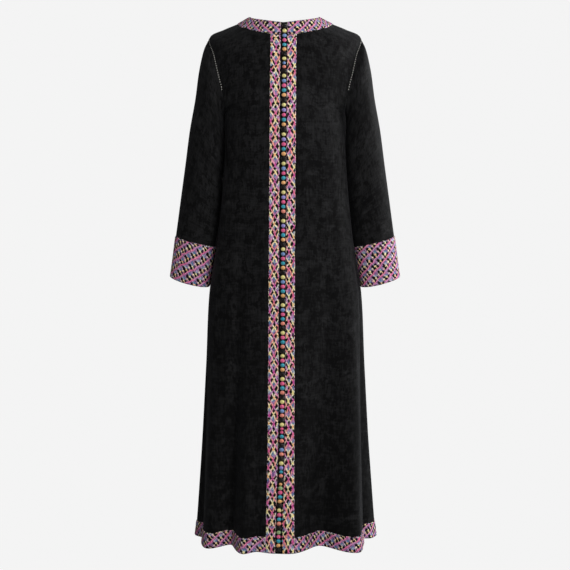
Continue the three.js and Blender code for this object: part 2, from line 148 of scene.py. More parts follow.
def section(name, row):
    """A column of the table at any row. At the shoulder and side seams both faces share one straight
    edge."""
    column = SECTIONS[:, COLUMNS.index(name)]
    value = through(column, row)
    if name.endswith("EdgeY"):
        seam = (row <= SHOULDER_ROW) | (row >= UNDERARM_ROW)
        value = np.where(seam, np.interp(row, np.arange(len(column)), column), value)
    return np.minimum(value, STRAIGHTEST) if name.endswith("Wrap") else value


print("half width at the underarm", float(section("frontX", UNDERARM_ROW)), "mm")

# %% [markdown]
# ## The skirt's folds
# Cloth that is cut wider than what holds it hangs in soft folds that deepen towards the hem. Each fold
# here is one rounded rise or hollow with its own place round the skirt. A cloth simulation would also make
# folds, but it wouldn't put them where this dress has them.

# %% Folds
FOLDS = [  # side, around at the hem, how much further at its start, spread in, spread out, depth, start
    (-1, 0.16, 0, 0.08, 0.06, -10, 760), (-1, 0.28, 0, 0.06, 0.07, 14, 700),
    (-1, 0.42, -0.05, 0.07, 0.1, -34, 520), (-1, 0.58, 0.18, 0.09, 0.1, 20, 480),
    (-1, 0.84, 0.1, 0.08, 0.1, -18, 520), (-1, 1.2, 0, 0.11, 0.1, 10, 760),
    (-1, 1.42, 0, 0.11, 0.13, -34, 640), (-1, 1.72, 0, 0.13, 0.12, 14, 700),
    (1, 0.26, 0.14, 0.1, 0.12, -44, 620), (1, 0.5, 0.22, 0.12, 0.09, 36, 480),
    (1, 0.75, 0.17, 0.08, 0.1, -24, 520), (1, 1.16, 0, 0.1, 0.12, 10, 800),
    (1, 1.5, 0, 0.13, 0.12, -38, 600), (1, 1.78, 0, 0.12, 0.12, 12, 760),
]
FOLD_GROWTH = 1.4  # above 1, a fold deepens late, towards the hem
FOLD_SAG = 0.14  # how far a fold hangs lower where it stands out
HEM_DROP = SECTIONS[HEM_ROW, COLUMNS.index("edgeDrop")]


def fold_depth(side, around, drop):
    """How far the folds push the skirt out, in millimetres. around goes from 0 in front to 2 behind."""
    depth = np.zeros(np.broadcast(around, drop).shape)
    for fold_side, at_hem, further, spread_in, spread_out, deep, start in FOLDS:
        if fold_side != side:
            continue
        down = np.clip((drop - start) / (HEM_DROP - start), 0, 1)
        middle, grown = at_hem + further * (1 - down), down ** FOLD_GROWTH
        spread = np.where(around < middle, spread_in, spread_out)
        depth += deep * grown * np.exp(-(((around - middle) / spread) ** 2))
    return depth


print(len(FOLDS), "folds")

# %% [markdown]
# ## Small creases and the drift of the front
# Worn cloth is never as clean as its pattern. Shallow vertical waves run down the skirt, a few drag lines
# leave the underarm, and the two fronts swing slightly towards the wearer's right as they fall. All of it
# is added to the same surface, so that the tape and the buttons follow.

# %% Creases and drift
WAVE_SEED = 11
waves = np.random.default_rng(WAVE_SEED)
WAVES = [(int(waves.integers(7, 30)), waves.uniform(-1.5, 1.5), waves.uniform(0, 6.28),
          waves.uniform(0.25, 0.6)) for _ in range(12)]  # how many go round, lean, shift, size
WAVES_ABOVE, WAVES_BELOW = 0.35, 1.1  # how strong they are at the chest, and how much more at the hem
WAVES_FROM, WAVES_TO = 250, 1300  # the drops between which they grow
LENGTH = 1360  # the dress's own, in millimetres
DRAG_LINES = [  # from around and drop, to around and drop, depth, width
    (0.93, 300, 0.45, 430, -2.6, 11), (0.97, 285, 0.62, 520, -2.0, 13), (0.9, 330, 0.3, 360, 1.5, 14)]
DRAG_CURVE = 1.4
SEAM_DEPTH, SEAM_WIDTH = 1.1, 3.5  # the hollow along a seam
SEAM_CURVE = 1.35  # the way to the seam along the curved cloth, beside the straight way
SWELL, SWELL_DROP, SWELL_HEIGHT, SWELL_WIDTH = 3.0, 288, 26, 0.12  # the cloth swells where four seams meet
DRIFT = np.array([[0, -3.3], [100, -4.2], [200, -5.3], [450, -7.0], [700, -8.5], [950, -9.4],
                  [1200, -11.3], [1360, -12.3]])
DRIFT_NEAR, DRIFT_FAR = 45.0, 150.0  # the drift is whole up to here, and gone past there


def smooth(x, low, high):
    """0 below low, 1 above high, smooth between."""
    t = np.clip((x - low) / (high - low), 0, 1)
    return t * t * (3 - 2 * t)


def creases(side, around, drop):
    """How far the small creases stand out, in millimetres."""
    turn = side * around / 4
    total = np.zeros(np.broadcast(around, drop).shape)
    for count, lean, shift, size in WAVES:
        total += size * np.cos(2 * np.pi * (count * turn + lean * drop / LENGTH) + shift)
    total *= WAVES_ABOVE + WAVES_BELOW * smooth(drop, WAVES_FROM, WAVES_TO)
    near = np.minimum(around, 2 - around)
    for start, start_drop, end, end_drop, deep, width in DRAG_LINES:
        t = np.clip((start - near) / (start - end), 0, 1)
        off = drop - (start_drop + (end_drop - start_drop) * t ** DRAG_CURVE)
        total += deep * np.exp(-((off / width) ** 2)) * np.sin(np.pi * t)
    off = ((drop - SWELL_DROP) / SWELL_HEIGHT) ** 2
    return total + SWELL * np.exp(-off - ((around - 1) / SWELL_WIDTH) ** 2)


print("creases at the hem stand out", creases(1, np.linspace(0, 1, 200), LENGTH).max().round(2), "mm at most")

# %% A point on the body
def body_point(face, side, share, row):
    """The half body's outer surface, in metres. share is 0 at the centre and 1 at the outer edge."""
    share, row = np.broadcast_arrays(np.asarray(share, float), np.asarray(row, float))
    wrap = np.radians(section(face + "Wrap", row))
    angle = share * wrap
    across = np.sin(angle) / np.sin(wrap)
    inward = (np.cos(angle) - np.cos(wrap)) / (1 - np.cos(wrap))
    edge_y, edge_drop = section(face + "EdgeY", row), section("edgeDrop", row)
    even = edge_drop + (section(face + "Drop", row) - edge_drop) * (1 - share ** DROP_CURVE)
    wide = section(face + "X", row)
    x = wide * across
    y = edge_y + (section(face + "Y", row) - edge_y) * inward
    around = share if face == "front" else 2 - share
    depth = fold_depth(side, around, even)
    hollow = SEAM_DEPTH * np.exp(-(((1 - share) * wide * SEAM_CURVE / SEAM_WIDTH) ** 2))
    fine = creases(side, around, even) - hollow
    heading = share ** 2 * np.pi / 2  # folds stand out forwards at the centre and sideways at the outer edge
    x = x + (depth + fine) * np.sin(heading)
    y = y + (depth + fine) * np.cos(heading) * (-1 if face == "front" else 1)
    x = side * x
    if face == "front":
        x = x + np.interp(even, DRIFT[:, 0], DRIFT[:, 1]) * (1 - smooth(np.abs(x), DRIFT_NEAR, DRIFT_FAR))
    return np.stack([x, y, -(even + depth * FOLD_SAG)], -1) * MM


def share_at(row, distance):
    """The share of a front section that lies a distance from the centre front, in millimetres."""
    wrap = np.radians(section("frontWrap", row))
    return np.arcsin(distance * np.sin(wrap) / section("frontX", row)) / wrap


print("hem point at the centre front", body_point("front", 1, 0.0, HEM_ROW).round(4))

# %% [markdown]
# ## The sleeve's surface
# A sleeve starts as the armhole's own edge and turns into a tilted ellipse, ring after ring, down to the
# wrist. Starting from the same edge points is what closes the armhole seam.

# %% Sleeve rings
SLEEVE_RINGS = np.array([  # outer x and drop, inner x and drop, middle y, half depth, how low the front is
    [211, 86, 157, 279, -2, 63, 0], [224, 143, 154, 312, -2, 62, 0],
    [233.5, 215, 153, 355, -2, 60, 0], [248, 297, 157, 414, -2, 58, 1],
    [259.5, 385, 162.5, 479, -3, 55, 2], [271.5, 473, 170.5, 541, -4, 52, 4],
    [284.5, 571, 178.5, 598, -5, 48, 7],  # upper edge of the cuff
    [291, 623, 187.5, 650, -5, 45, 8],
    [298.2, 676, 197.5, 702, -5, 43, 9],  # end of the sleeve
], float)
CUFF_RING, LAST_RING = 7, 9
ELBOW_RING = 4.4  # a crease runs round the inside of the elbow here
SLEEVE_WAVES = [  # how many go round, lean, shift, size
    (3, 0.6, 0.4, 0.9), (5, -0.5, 2.1, 0.7), (8, 0.8, 4.0, 0.45), (11, 0.3, 1.0, 0.3)]
WAVES_ON_SLEEVE, WAVES_LOST_IN_CUFF = 0.9, 0.6
ELBOW_HOLLOW, ELBOW_RISE = 1.8, 0.8  # a hollow inside the elbow, and how much of it rises again below
print(len(SLEEVE_RINGS), "rings below the armhole")

# %% A point on a sleeve
def armhole_point(side, turn):
    """The armhole's edge in millimetres, from the shoulder down the front and up the back."""
    k = 20 * turn  # ten steps down the front and ten up the back
    front = body_point("front", side, 1.0, np.clip(SHOULDER_ROW + k / 2, SHOULDER_ROW, UNDERARM_ROW))
    rear = body_point("back", side, 1.0, np.clip(UNDERARM_ROW - (k - 10) / 2, SHOULDER_ROW, UNDERARM_ROW))
    return np.where((k <= 10)[..., None], front, rear) / MM


def sleeve_point(side, turn, ring):
    """The sleeve's outer surface. turn goes round it from the outermost line by way of the front."""
    turn, ring = np.broadcast_arrays(np.asarray(turn, float), np.asarray(ring, float))
    angle = 2 * np.pi * turn
    cos, sin = np.cos(angle), np.sin(angle)
    fine = sum(size * np.cos(2 * np.pi * (count * turn + lean * ring / LAST_RING) + shift)
               for count, lean, shift, size in SLEEVE_WAVES) * WAVES_ON_SLEEVE * smooth(ring, 0.6, 3)
    hollow = np.exp(-((ring - ELBOW_RING - 0.3 * cos) / 0.16) ** 2)
    rise = np.exp(-((ring - ELBOW_RING - 0.55 + 0.2 * sin) / 0.14) ** 2)
    fine = fine - ELBOW_HOLLOW * (hollow - ELBOW_RISE * rise) * (0.5 - 0.5 * cos) ** 2
    fine = fine * (1 - WAVES_LOST_IN_CUFF * smooth(ring, CUFF_RING - 0.6, CUFF_RING + 0.2))
    rings = [armhole_point(side, turn)]
    for ox, od, ix, idrop, my, half, low in SLEEVE_RINGS:
        outer, inner = np.array([side * ox, my, -od]), np.array([side * ix, my, -idrop])
        middle, reach = (outer + inner) / 2, (outer - inner) / 2
        forward = np.array([0, -half, -low])
        rings.append(middle + reach * cos[..., None] + forward * sin[..., None])
    stack = np.stack(rings)
    last = len(stack) - 1
    i = np.clip(np.floor(ring).astype(int), 0, last - 1)
    t = (ring - i)[..., None]
    i = i[..., None]
    four = [np.take_along_axis(stack, np.clip(i + k, 0, last)[None], 0)[0] for k in (-1, 0, 1, 2)]
    p = ease(four, t, i == 0, i == last - 1)
    outwards = np.stack([side * cos, -sin, np.zeros_like(cos)], -1)
    return (p + outwards * fine[..., None]) * MM


print("sleeve end", sleeve_point(1, 0.0, LAST_RING).round(4))

# %% [markdown]
# ## Turning a surface into cloth
# A grid of points is only a sheet of paper. Cloth has two faces and a turned edge, so each piece gets an
# outer and an inner grid along its normals, joined all round. Solidify could do the same, but here the
# edge can roll and the tape can swell over its strands.

# %% Shells
def normals(grid, closed):
    """Outward normals of a grid whose rows run down and whose columns run round."""
    if closed:
        across = np.roll(grid, -1, 1) - np.roll(grid, 1, 1)
    else:
        across = np.gradient(grid, axis=1)
    down = np.gradient(grid, axis=0)
    n = np.cross(across, down)
    n /= np.maximum(np.linalg.norm(n, axis=-1, keepdims=True), 1e-12)
    outward = grid - (grid.mean(1, keepdims=True) if closed else 0)  # away from the sleeve's or body's axis
    outward[..., 2] = 0
    return n * np.sign((n * outward).sum(-1).mean())


def height_up(grid):
    """The hem's height plus the way up the cloth from there, so that the cloth's rows hang level."""
    run = lengths(grid, 0)
    return grid[-1:, :, 2] + run[-1:] - run


print("normals and heights ready")

# %% A shell from a grid
def shell(name, grid, uv, out, thick, closed=False):
    """A closed wall of cloth. out is how far its outer face stands off the grid, and thick its thickness.
    On a ring, uv has one more column than the grid."""
    n = normals(grid, closed)
    out = np.broadcast_to(np.asarray(out, float), grid.shape[:2])[..., None]
    thick = np.broadcast_to(np.asarray(thick, float), grid.shape[:2])[..., None]
    rows, cols = grid.shape[:2]
    co = np.concatenate([(grid + n * out).reshape(-1, 3), (grid + n * (out - thick)).reshape(-1, 3)])
    down, across = np.arange(rows - 1), np.arange(uv.shape[1] - 1)
    i, j = (a.ravel() for a in np.meshgrid(down, across, indexing="ij"))
    top, bottom = 0 * across, 0 * across + rows - 1
    start, end = 0 * down, 0 * down + len(across)
    walls = [  # each face's corners: row, column, and 0 on the outer or 1 on the inner side
        [(i, j, 0), (i + 1, j, 0), (i + 1, j + 1, 0), (i, j + 1, 0)],
        [(i, j + 1, 1), (i + 1, j + 1, 1), (i + 1, j, 1), (i, j, 1)],
        [(top, across, 1), (top, across, 0), (top, across + 1, 0), (top, across + 1, 1)],
        [(bottom, across + 1, 1), (bottom, across + 1, 0), (bottom, across, 0), (bottom, across, 1)],
    ]
    if not closed:
        walls += [
            [(down, start, 1), (down + 1, start, 1), (down + 1, start, 0), (down, start, 0)],
            [(down, end, 0), (down + 1, end, 0), (down + 1, end, 1), (down, end, 1)],
        ]
    faces = np.concatenate([np.stack([a * cols + b % cols + k * rows * cols for a, b, k in wall], -1)
                            for wall in walls])
    marks = np.concatenate([np.stack([a * uv.shape[1] + b for a, b, k in wall], -1) for wall in walls])
    p = co[faces[:len(i), :3]]
    facing = np.cross(p[:, 1] - p[:, 0], p[:, 2] - p[:, 0])
    if (facing * n.reshape(-1, 3)[faces[:len(i), 0]]).sum() < 0:
        faces, marks = faces[:, ::-1], marks[:, ::-1]
    mesh = bpy.data.meshes.new(name)
    mesh.from_pydata(co.tolist(), [], faces.tolist())
    layer = mesh.uv_layers.new(name="UVMap")
    layer.data.foreach_set("uv", uv.reshape(-1, 2)[marks.ravel()].ravel().astype(np.float32))
    mesh.polygons.foreach_set("use_smooth", np.ones(len(faces), bool))
    inside = np.ones(len(faces))
    inside[:len(i)] = 0
    carry(mesh, "inside", inside, "FACE")
    mesh.update()
    print(f"{name}: {len(faces)} faces, outer area {np.linalg.norm(facing, axis=1).sum():.4f} m2")
    return put(name, mesh)


print("shell ready")

# %% Measuring along the cloth
def lengths(grid, axis):
    """How far each point lies along the grid's rows or columns, in metres."""
    each = np.linalg.norm(np.diff(grid, axis=axis), axis=-1)
    zero = np.zeros_like(np.take(each, [0], axis))
    return np.cumsum(np.concatenate([zero, each], axis), axis)


def rows_between(first, last, step, face="front"):
    """Rows of the section table an even distance apart on the cloth, in metres."""
    tries = np.linspace(first, last, 600)
    run = lengths(body_point(face, 1, 0.45, tries)[:, None], 0)[:, 0]  # down the middle of one half
    return np.interp(np.linspace(0, run[-1], int(run[-1] / step) + 2), run, tries)


def whole_back(shares, rows):
    """A grid over both halves of the back, which is cut without a centre seam."""
    right, left = (body_point("back", side, shares[None], rows[:, None]) for side in (-1, 1))
    return np.concatenate([right[:, :0:-1], left], 1)


def centred(run):
    """Distances along a grid's rows, counted from the middle column."""
    return run - run[:, [run.shape[1] // 2]]


print(len(rows_between(0, HEM_ROW, 10 * MM)), "rows a centimetre apart from the neck to the hem")

# %% [markdown]
# ## The black cloth
# The dress is cut from a black jacquard with a short nap. Its fronts and back hang from the shoulder
# seams. The columns of each grid crowd together beside the seams, where the cloth is pulled in by the
# stitching.

# %% Fronts and back
CLOTH = 1.8 * MM
NEAR_SEAM = 0.955
SHARES = np.concatenate([np.linspace(0, NEAR_SEAM, 74), np.linspace(NEAR_SEAM, 1, 12)[1:]])
CLOTH_ROWS = rows_between(0, HEM_ROW, 5.4 * MM)
SIDES = {"left": 1, "right": -1}
cloth = {}

for name, side in SIDES.items():
    grid = body_point("front", side, SHARES[None], CLOTH_ROWS[:, None])
    uv = np.stack([side * lengths(grid, 1), height_up(grid)], -1)
    cloth[f"front_{name}"] = shell(f"front_{name}_cloth", grid, uv, 0, CLOTH)

grid = whole_back(SHARES, CLOTH_ROWS)
uv = np.stack([centred(lengths(grid, 1)), height_up(grid)], -1)
cloth["back"] = shell("back_cloth", grid, uv, 0, CLOTH)

# %% Sleeves
TURNS = 84  # columns round a sleeve
sleeve_rings = np.concatenate([np.linspace(0, 0.3, 8), np.linspace(0.3, LAST_RING, 124)[1:]])
for name, side in SIDES.items():
    turns = np.arange(TURNS + 1) / TURNS
    whole = sleeve_point(side, turns[None], sleeve_rings[:, None])
    uv = np.stack([-side * centred(lengths(whole, 1)), -lengths(whole, 0)[:, [0]] + 0 * turns], -1)
    cloth[f"sleeve_{name}"] = shell(f"sleeve_{name}_cloth", whole[:, :-1], uv, 0, CLOTH, closed=True)

# %% [markdown]
# ## The woven tape
# The tape is a braid-like weave: flat strands cross in two directions and leave small dark gaps between
# them. The strands are counted on two slanting axes, so one rule gives both the relief here and, later,
# the colours. The tape lies on the cloth with turned edges, and its strands really stand up from it.

# %% The tape's strands
BAND_CELL = (5.65, 10.8)  # a strand count's steps across and along a front band, in millimetres
EDGE_TURN = math.radians(38)  # the slant of the strands at the hem, the neck and the cuffs
EDGE_CELL = (4.7, 5.2)  # and their counts' steps, in millimetres
TILES = {  # how far each strand count runs per metre: first strands (across, along), second strands
    "band": ((1 / BAND_CELL[0], 1 / BAND_CELL[1]), (1 / BAND_CELL[0], -1 / BAND_CELL[1])),
    "edge": ((-math.sin(EDGE_TURN) / EDGE_CELL[1], math.cos(EDGE_TURN) / EDGE_CELL[1]),
             (math.cos(EDGE_TURN) / EDGE_CELL[0], math.sin(EDGE_TURN) / EDGE_CELL[0])),
}
REPEAT = 4.0  # the strands repeat after so many counts, with a pink strand at 0
PALE_AT = {"band": (1.72, 2.28), "edge": (1.7, 1.85)}  # where a pale strand lies in each direction
STRAND_HALF = {"band": (0.38, 0.38), "edge": (0.39, 0.27)}  # half a strand's width, in counts
COUNT_START = -0.8  # counts run from here, so that no strand is cut by the end of a repeat
RELIEF = 0.6 * MM
TAPE_STEP = 1.6 * MM  # the fineness of its grid
TURNED_IN = 1.8 * MM  # how wide the tape's turned edge is
LOW, HIGH = 0.35, 1.05  # how far the tape's edge stands off the cloth, and how much more its middle does
HELD_OFF = 0.15 * MM  # the tape's inner face never quite touches the cloth
print("strand counts in a centimetre across a band:", round(10 / BAND_CELL[0], 2))

# %% Tape from strands
def strand_relief(uv, kind):
    """How high the strands stand at each point of a tape, from 0 to 1."""
    height = 0
    for (across, along), pale, half in zip(TILES[kind], PALE_AT[kind], STRAND_HALF[kind]):
        count = (uv[..., 0] * across + uv[..., 1] * along) / MM
        place = np.mod(count - COUNT_START, REPEAT) + COUNT_START
        off = np.minimum(np.abs(place), np.abs(place - pale)) / half
        height = np.maximum(height, np.sqrt(np.clip(1 - off ** 2, 0, 1)))
    return height


def tape(name, grid, uv, kind, closed=False):
    """A piece of tape on the cloth's surface, with turned edges and raised strands."""
    body = grid if not closed else np.concatenate([grid, grid[:, :1]], 1)
    down = lengths(body, 0)
    edge = np.minimum(down, down[-1:] - down)
    if not closed:
        across = lengths(body, 1)
        edge = np.minimum(edge, np.minimum(across, across[:, -1:] - across))
    full = smooth(edge, -0.2 * MM, TURNED_IN)
    out = (LOW + HIGH * full) * MM + RELIEF * full * strand_relief(uv, kind)
    if closed:
        out, edge = out[:, :-1], edge[:, :-1]
    piece = shell(name, grid, uv, out, out - HELD_OFF, closed)
    carry(piece.data, "border", np.tile((edge / MM).ravel(), 2))
    return piece


def spread(length):
    """Shares from 0 to 1, one tape step apart on a length in millimetres."""
    return np.linspace(0, 1, max(3, int(length * MM / TAPE_STEP) + 2))


print("tape helpers ready")

# %% [markdown]
# ## Where the fronts meet
# The two bands leave a narrow lane for the buttons. It widens a little near the hem, where nothing holds
# the fronts together, and the buttons swing across it. The table gives each line's distance from the
# centre front.

# %% The lane and the bands' edges
OPENING = np.array([  # drop; right front's outer and inner line; buttons; left front's inner and outer line
    [30, -33.0, -6.8, 2.6, 9.4, 33.2], [300, -33.0, -6.8, 3.0, 9.8, 33.2],
    [820, -33.0, -6.4, 3.2, 9.8, 33.2], [1100, -33.2, -6.6, 2.2, 8.8, 33.6],
    [1180, -34.0, -7.8, 0.8, 7.8, 34.0], [1250, -35.0, -9.8, -2.4, 6.2, 34.4],
    [1360, -35.6, -11.6, -4.7, 5.0, 34.8],
])
BAND_LINES = {"right": (2, 1), "left": (4, 5)}  # the table's columns for a band's inner and outer edge
PATTERN_IN = 14.8  # from a band's outer edge to the middle of its pattern, in millimetres
PATTERN_AT = {"right": 354.4, "left": 358.6}  # the drop at which two pink strands cross there


def opening(line, row):
    """One of the table's lines at any row, in millimetres from the centre front."""
    place = np.interp(section("frontDrop", row), OPENING[:, 0], np.arange(len(OPENING)))
    return through(OPENING[:, line], place)


print("lane at the hem", [round(float(opening(k, HEM_ROW)), 1) for k in range(1, 6)])

# %% Front bands and neck tape
BAND, NECK_FRONT, NECK_BACK, HEM_FRONT, HEM_BACK = 26, 150, 160, 340, 350  # the tapes' lengths, in mm
tapes = {}


def edge_tape(node, side, rows, line, length, turn):
    """Tape along a front's neck or hem, from a line of the table out to the seam. turn is the way its
    pattern goes round."""
    start = share_at(rows, side * opening(line, rows))[:, None]
    grid = body_point("front", side, start + (1 - start) * spread(length)[None], rows[:, None])
    uv = np.stack([turn * lengths(grid, 1), -lengths(grid, 0)], -1)
    tapes[node] = tape(node + "_tape", grid, uv, "edge")


band_rows = rows_between(TAPE_ROW, HEM_ROW, TAPE_STEP)
neck_rows = rows_between(0, TAPE_ROW, TAPE_STEP)
for name, side in SIDES.items():
    inner, outer = (side * opening(line, band_rows)[:, None] for line in BAND_LINES[name])
    distance = inner + (outer - inner) * spread(BAND)[None]
    grid = body_point("front", side, share_at(band_rows[:, None], distance), band_rows[:, None])
    along = lengths(grid[:, -1:], 0)
    along = along - np.interp(PATTERN_AT[name] * MM, -grid[:, -1, 2], along[:, 0]) + 0 * distance
    uv = np.stack([(distance - outer + PATTERN_IN) * MM, along if side < 0 else -along], -1)
    tapes[f"front_band_{name}"] = tape(f"front_band_{name}_tape", grid, uv, "band")
    edge_tape(f"neck_tape_front_{name}", side, neck_rows, BAND_LINES[name][0], NECK_FRONT, 1)

grid = whole_back(spread(NECK_BACK), rows_between(0, TAPE_ROW, TAPE_STEP, "back"))
uv = np.stack([np.abs(centred(lengths(grid, 1))), -lengths(grid, 0)], -1)
tapes["neck_tape_back"] = tape("neck_tape_back_tape", grid, uv, "edge")

# %% Hem tape and cuffs
hem_rows = rows_between(HEM_TAPE_ROW, HEM_ROW, TAPE_STEP)
for name, side in SIDES.items():
    edge_tape(f"hem_tape_front_{name}", side, hem_rows, BAND_LINES[name][1], HEM_FRONT, side)

grid = whole_back(spread(HEM_BACK), rows_between(HEM_TAPE_ROW, HEM_ROW, TAPE_STEP, "back"))
uv = np.stack([lengths(grid, 1), -lengths(grid, 0)], -1)
tapes["hem_tape_back"] = tape("hem_tape_back_tape", grid, uv, "edge")

cuff_turns = np.linspace(0, 1, 190)
cuff_rings = np.linspace(CUFF_RING, LAST_RING, 64)
for name, side in SIDES.items():
    whole = sleeve_point(side, cuff_turns[None], cuff_rings[:, None])
    uv = np.stack([-side * lengths(whole, 1), -lengths(whole, 0)[:, [0]] + 0 * cuff_turns], -1)
    tapes[f"cuff_{name}"] = tape(f"cuff_{name}_tape", whole[:, :-1], uv, "edge", closed=True)

# %% [markdown]
# ## Building with nodes
# Buttons, loops and stitches repeat, so Geometry Nodes place them: one small shape, many places. Materials
# are node trees too. A few helpers keep both readable: one adds a node and fills its inputs, others do
# arithmetic, and each finds its tree from the sockets that it is given.

# %% Node helpers
def fill(socket, value):
    """Gives an input a number, or joins it to another node's socket."""
    if isinstance(value, bpy.types.NodeSocket):
        socket.id_data.links.new(value, socket)
    elif value is not None:
        socket.default_value = value


def add(tree, kind, *values, named=None, **settings):
    """Adds a node. The values fill its inputs in order, and named ones fill those of that name."""
    new = tree.nodes.new(kind)
    for key, value in settings.items():
        setattr(new, key, value)
    for socket, value in zip([s for s in new.inputs if s.enabled], values):
        fill(socket, value)
    for key, value in (named or {}).items():
        fill(new.inputs[key], value)
    return new


def group(name, tree_type, inputs, outputs):
    """A node group with named sockets, and its input and output nodes. A socket is given by its type, or by
    the number or colour that it starts from."""
    tree = bpy.data.node_groups.new(name, tree_type)
    for side, sockets in (("INPUT", inputs), ("OUTPUT", outputs)):
        for label, given in sockets.items():
            kind = given if isinstance(given, str) else "Float" if isinstance(given, float) else "Color"
            socket = tree.interface.new_socket(label, in_out=side, socket_type="NodeSocket" + kind)
            if kind != given:
                socket.default_value = given
    source, sink = tree.nodes.new("NodeGroupInput"), tree.nodes.new("NodeGroupOutput")
    return tree, source, sink


def direction_of(tree, name):
    """The direction that each point carries under a name."""
    return add(tree, "GeometryNodeInputNamedAttribute", name, data_type="FLOAT_VECTOR").outputs[0]


def put_on(points, shape, rotation, scale, source, sink):
    """Puts a shape on every point, makes it real mesh and gives it its material."""
    tree = shape.id_data
    smoothed = add(tree, "GeometryNodeSetShadeSmooth", shape).outputs[0]
    placed = add(tree, "GeometryNodeInstanceOnPoints", points,
                 named={"Instance": smoothed, "Rotation": rotation, "Scale": scale}).outputs[0]
    real = add(tree, "GeometryNodeRealizeInstances", placed).outputs[0]
    dressed = add(tree, "GeometryNodeSetMaterial", real, named={"Material": source.outputs["Material"]})
    fill(sink.inputs[0], dressed.outputs[0])


print("node helpers ready")

# %% From a tree to a mesh
def bake_tree(name, mesh, tree, **inputs):
    """Runs a Geometry Nodes tree on a mesh and returns the plain mesh that it makes, as an object."""
    holder = put(name + "_base", mesh)
    modifier = holder.modifiers.new("nodes", "NODES")
    modifier.node_group = tree
    identifiers = {item.name: item.identifier for item in tree.interface.items_tree
                   if item.item_type == "SOCKET" and item.in_out == "INPUT"}
    for key, value in inputs.items():
        modifier[identifiers[key.replace("_", " ")]] = value
    graph = bpy.context.evaluated_depsgraph_get()
    baked = bpy.data.meshes.new_from_object(holder.evaluated_get(graph), depsgraph=graph)
    baked.name = name
    baked.materials.clear()
    baked.materials.append(inputs["Material"])
    baked.polygons.foreach_set("material_index", [0] * len(baked.polygons))
    bpy.data.objects.remove(holder)
    print(f"{name}: {len(baked.polygons)} faces")
    return put(name, baked)


def points_mesh(name, points, **attributes):
    """A mesh of loose points that carries named numbers or directions."""
    mesh = bpy.data.meshes.new(name)
    mesh.from_pydata([tuple(p) for p in points], [], [])
    for key, values in attributes.items():
        carry(mesh, key, values)
    return mesh


def along_line(line):
    """How far each of a line's points lies along it, and two functions of that distance: the place there,
    and the way the line runs there."""
    run = np.r_[0, np.cumsum(np.linalg.norm(np.diff(line, axis=0), axis=1))]

    def place_at(distances, values=line):
        return np.stack([np.interp(distances, run, values[:, k]) for k in range(3)], -1)

    return run, place_at, lambda distances: place_at(distances, np.gradient(line, axis=0))


silk = bpy.data.materials.new("wound_silk")
cord = bpy.data.materials.new("loop_cord")
thread = bpy.data.materials.new("stitch_thread")
print("materials to fill in later:", silk.name, cord.name, thread.name)

# %% [markdown]
# ## The buttons
# More than a hundred small balls of silk thread close the front. They come in runs: one black ball, then
# up to five colours. Each is a slightly flattened ball whose pole looks forwards, because the thread is
# wound round that pole. A point per button carries its size, colour and direction, and the tree puts a
# ball on each.

# %% Where the buttons are
RUNS = ["KYBPTO", "KYbs", "KYBPTO", "KYLPTO", "KYLPTO", "KYBPTO", "KYLPTS", "KYLPTO", "KYBPTO",
        "KYBPTO", "KYBPTS", "KYPTS", "KYPTO", "KYPTS", "KYPBS", "KYppTS", "KBS", "KYLtS", "KoGPTO",
        "KYPTS", "KGPTO", "K"]
SILKS = "KYBLPTOSG"  # a small letter in a run is a smaller ball of the same silk
SMALL, BLACK_SIZE = 0.8, 1.2  # a ball's size beside a plain coloured one
YELLOW_ROOM = 1.1  # a yellow ball's room on the line
HEM_PITCH = 0.85  # how much closer the balls sit at the hem than at the neck
FIRST_BUTTON, LAST_BUTTON = 13.8 * MM, 10 * MM
BALL = (5.6 * MM, 5.05 * MM, 5.0 * MM)  # half width, half height and half depth
BALL_SEED, BALL_SPREAD = 5, (0.95, 1.06)  # no two wound balls are quite the same size
BUTTON_LINE = 3  # its column in the table of the opening

line_rows = np.linspace(0, HEM_ROW, 1500)
offset = opening(BUTTON_LINE, line_rows)
line = np.where((offset > 0)[:, None], *(
    body_point("front", side, share_at(line_rows, np.abs(offset)), line_rows) for side in (1, -1)))
run, place_at, way_at = along_line(line)
letters = "".join(RUNS)
room = np.array([SMALL if c.islower() else YELLOW_ROOM if c == "Y" else 1.0 for c in letters])
gaps = (room[1:] + room[:-1]) / 2 * np.linspace(1, HEM_PITCH, len(letters) - 1)
stations = np.r_[0, np.cumsum(gaps)] / gaps.sum() * (run[-1] - FIRST_BUTTON - LAST_BUTTON) + FIRST_BUTTON
places = place_at(stations)
forward = np.cross(way_at(stations), [1.0, 0, 0])
forward /= np.linalg.norm(forward, axis=1, keepdims=True)
forward *= np.sign(-forward[:, 1:2])
size = np.array([SMALL if c.islower() else BLACK_SIZE if c == "K" else 1.0 for c in letters])
size *= np.random.default_rng(BALL_SEED).uniform(*BALL_SPREAD, len(letters))
pitch = np.diff(stations) / MM
print(f"{len(letters)} buttons, {pitch[0]:.2f} mm apart at the neck and {pitch[-1]:.2f} mm at the hem")

# %% The button tree
tree, source, sink = group("wound balls", "GeometryNodeTree", {
    "Points": "Geometry", "Half Width": 0.007, "Half Height": 0.0057, "Half Depth": 0.006,
    "Stand Off": 0.005, "Material": "Material"}, {"Balls": "Geometry"})


def resized(vector, factor):
    """A vector made longer or shorter."""
    return add(vector.id_data, "ShaderNodeVectorMath", vector, named={"Scale": factor},
               operation="SCALE").outputs[0]


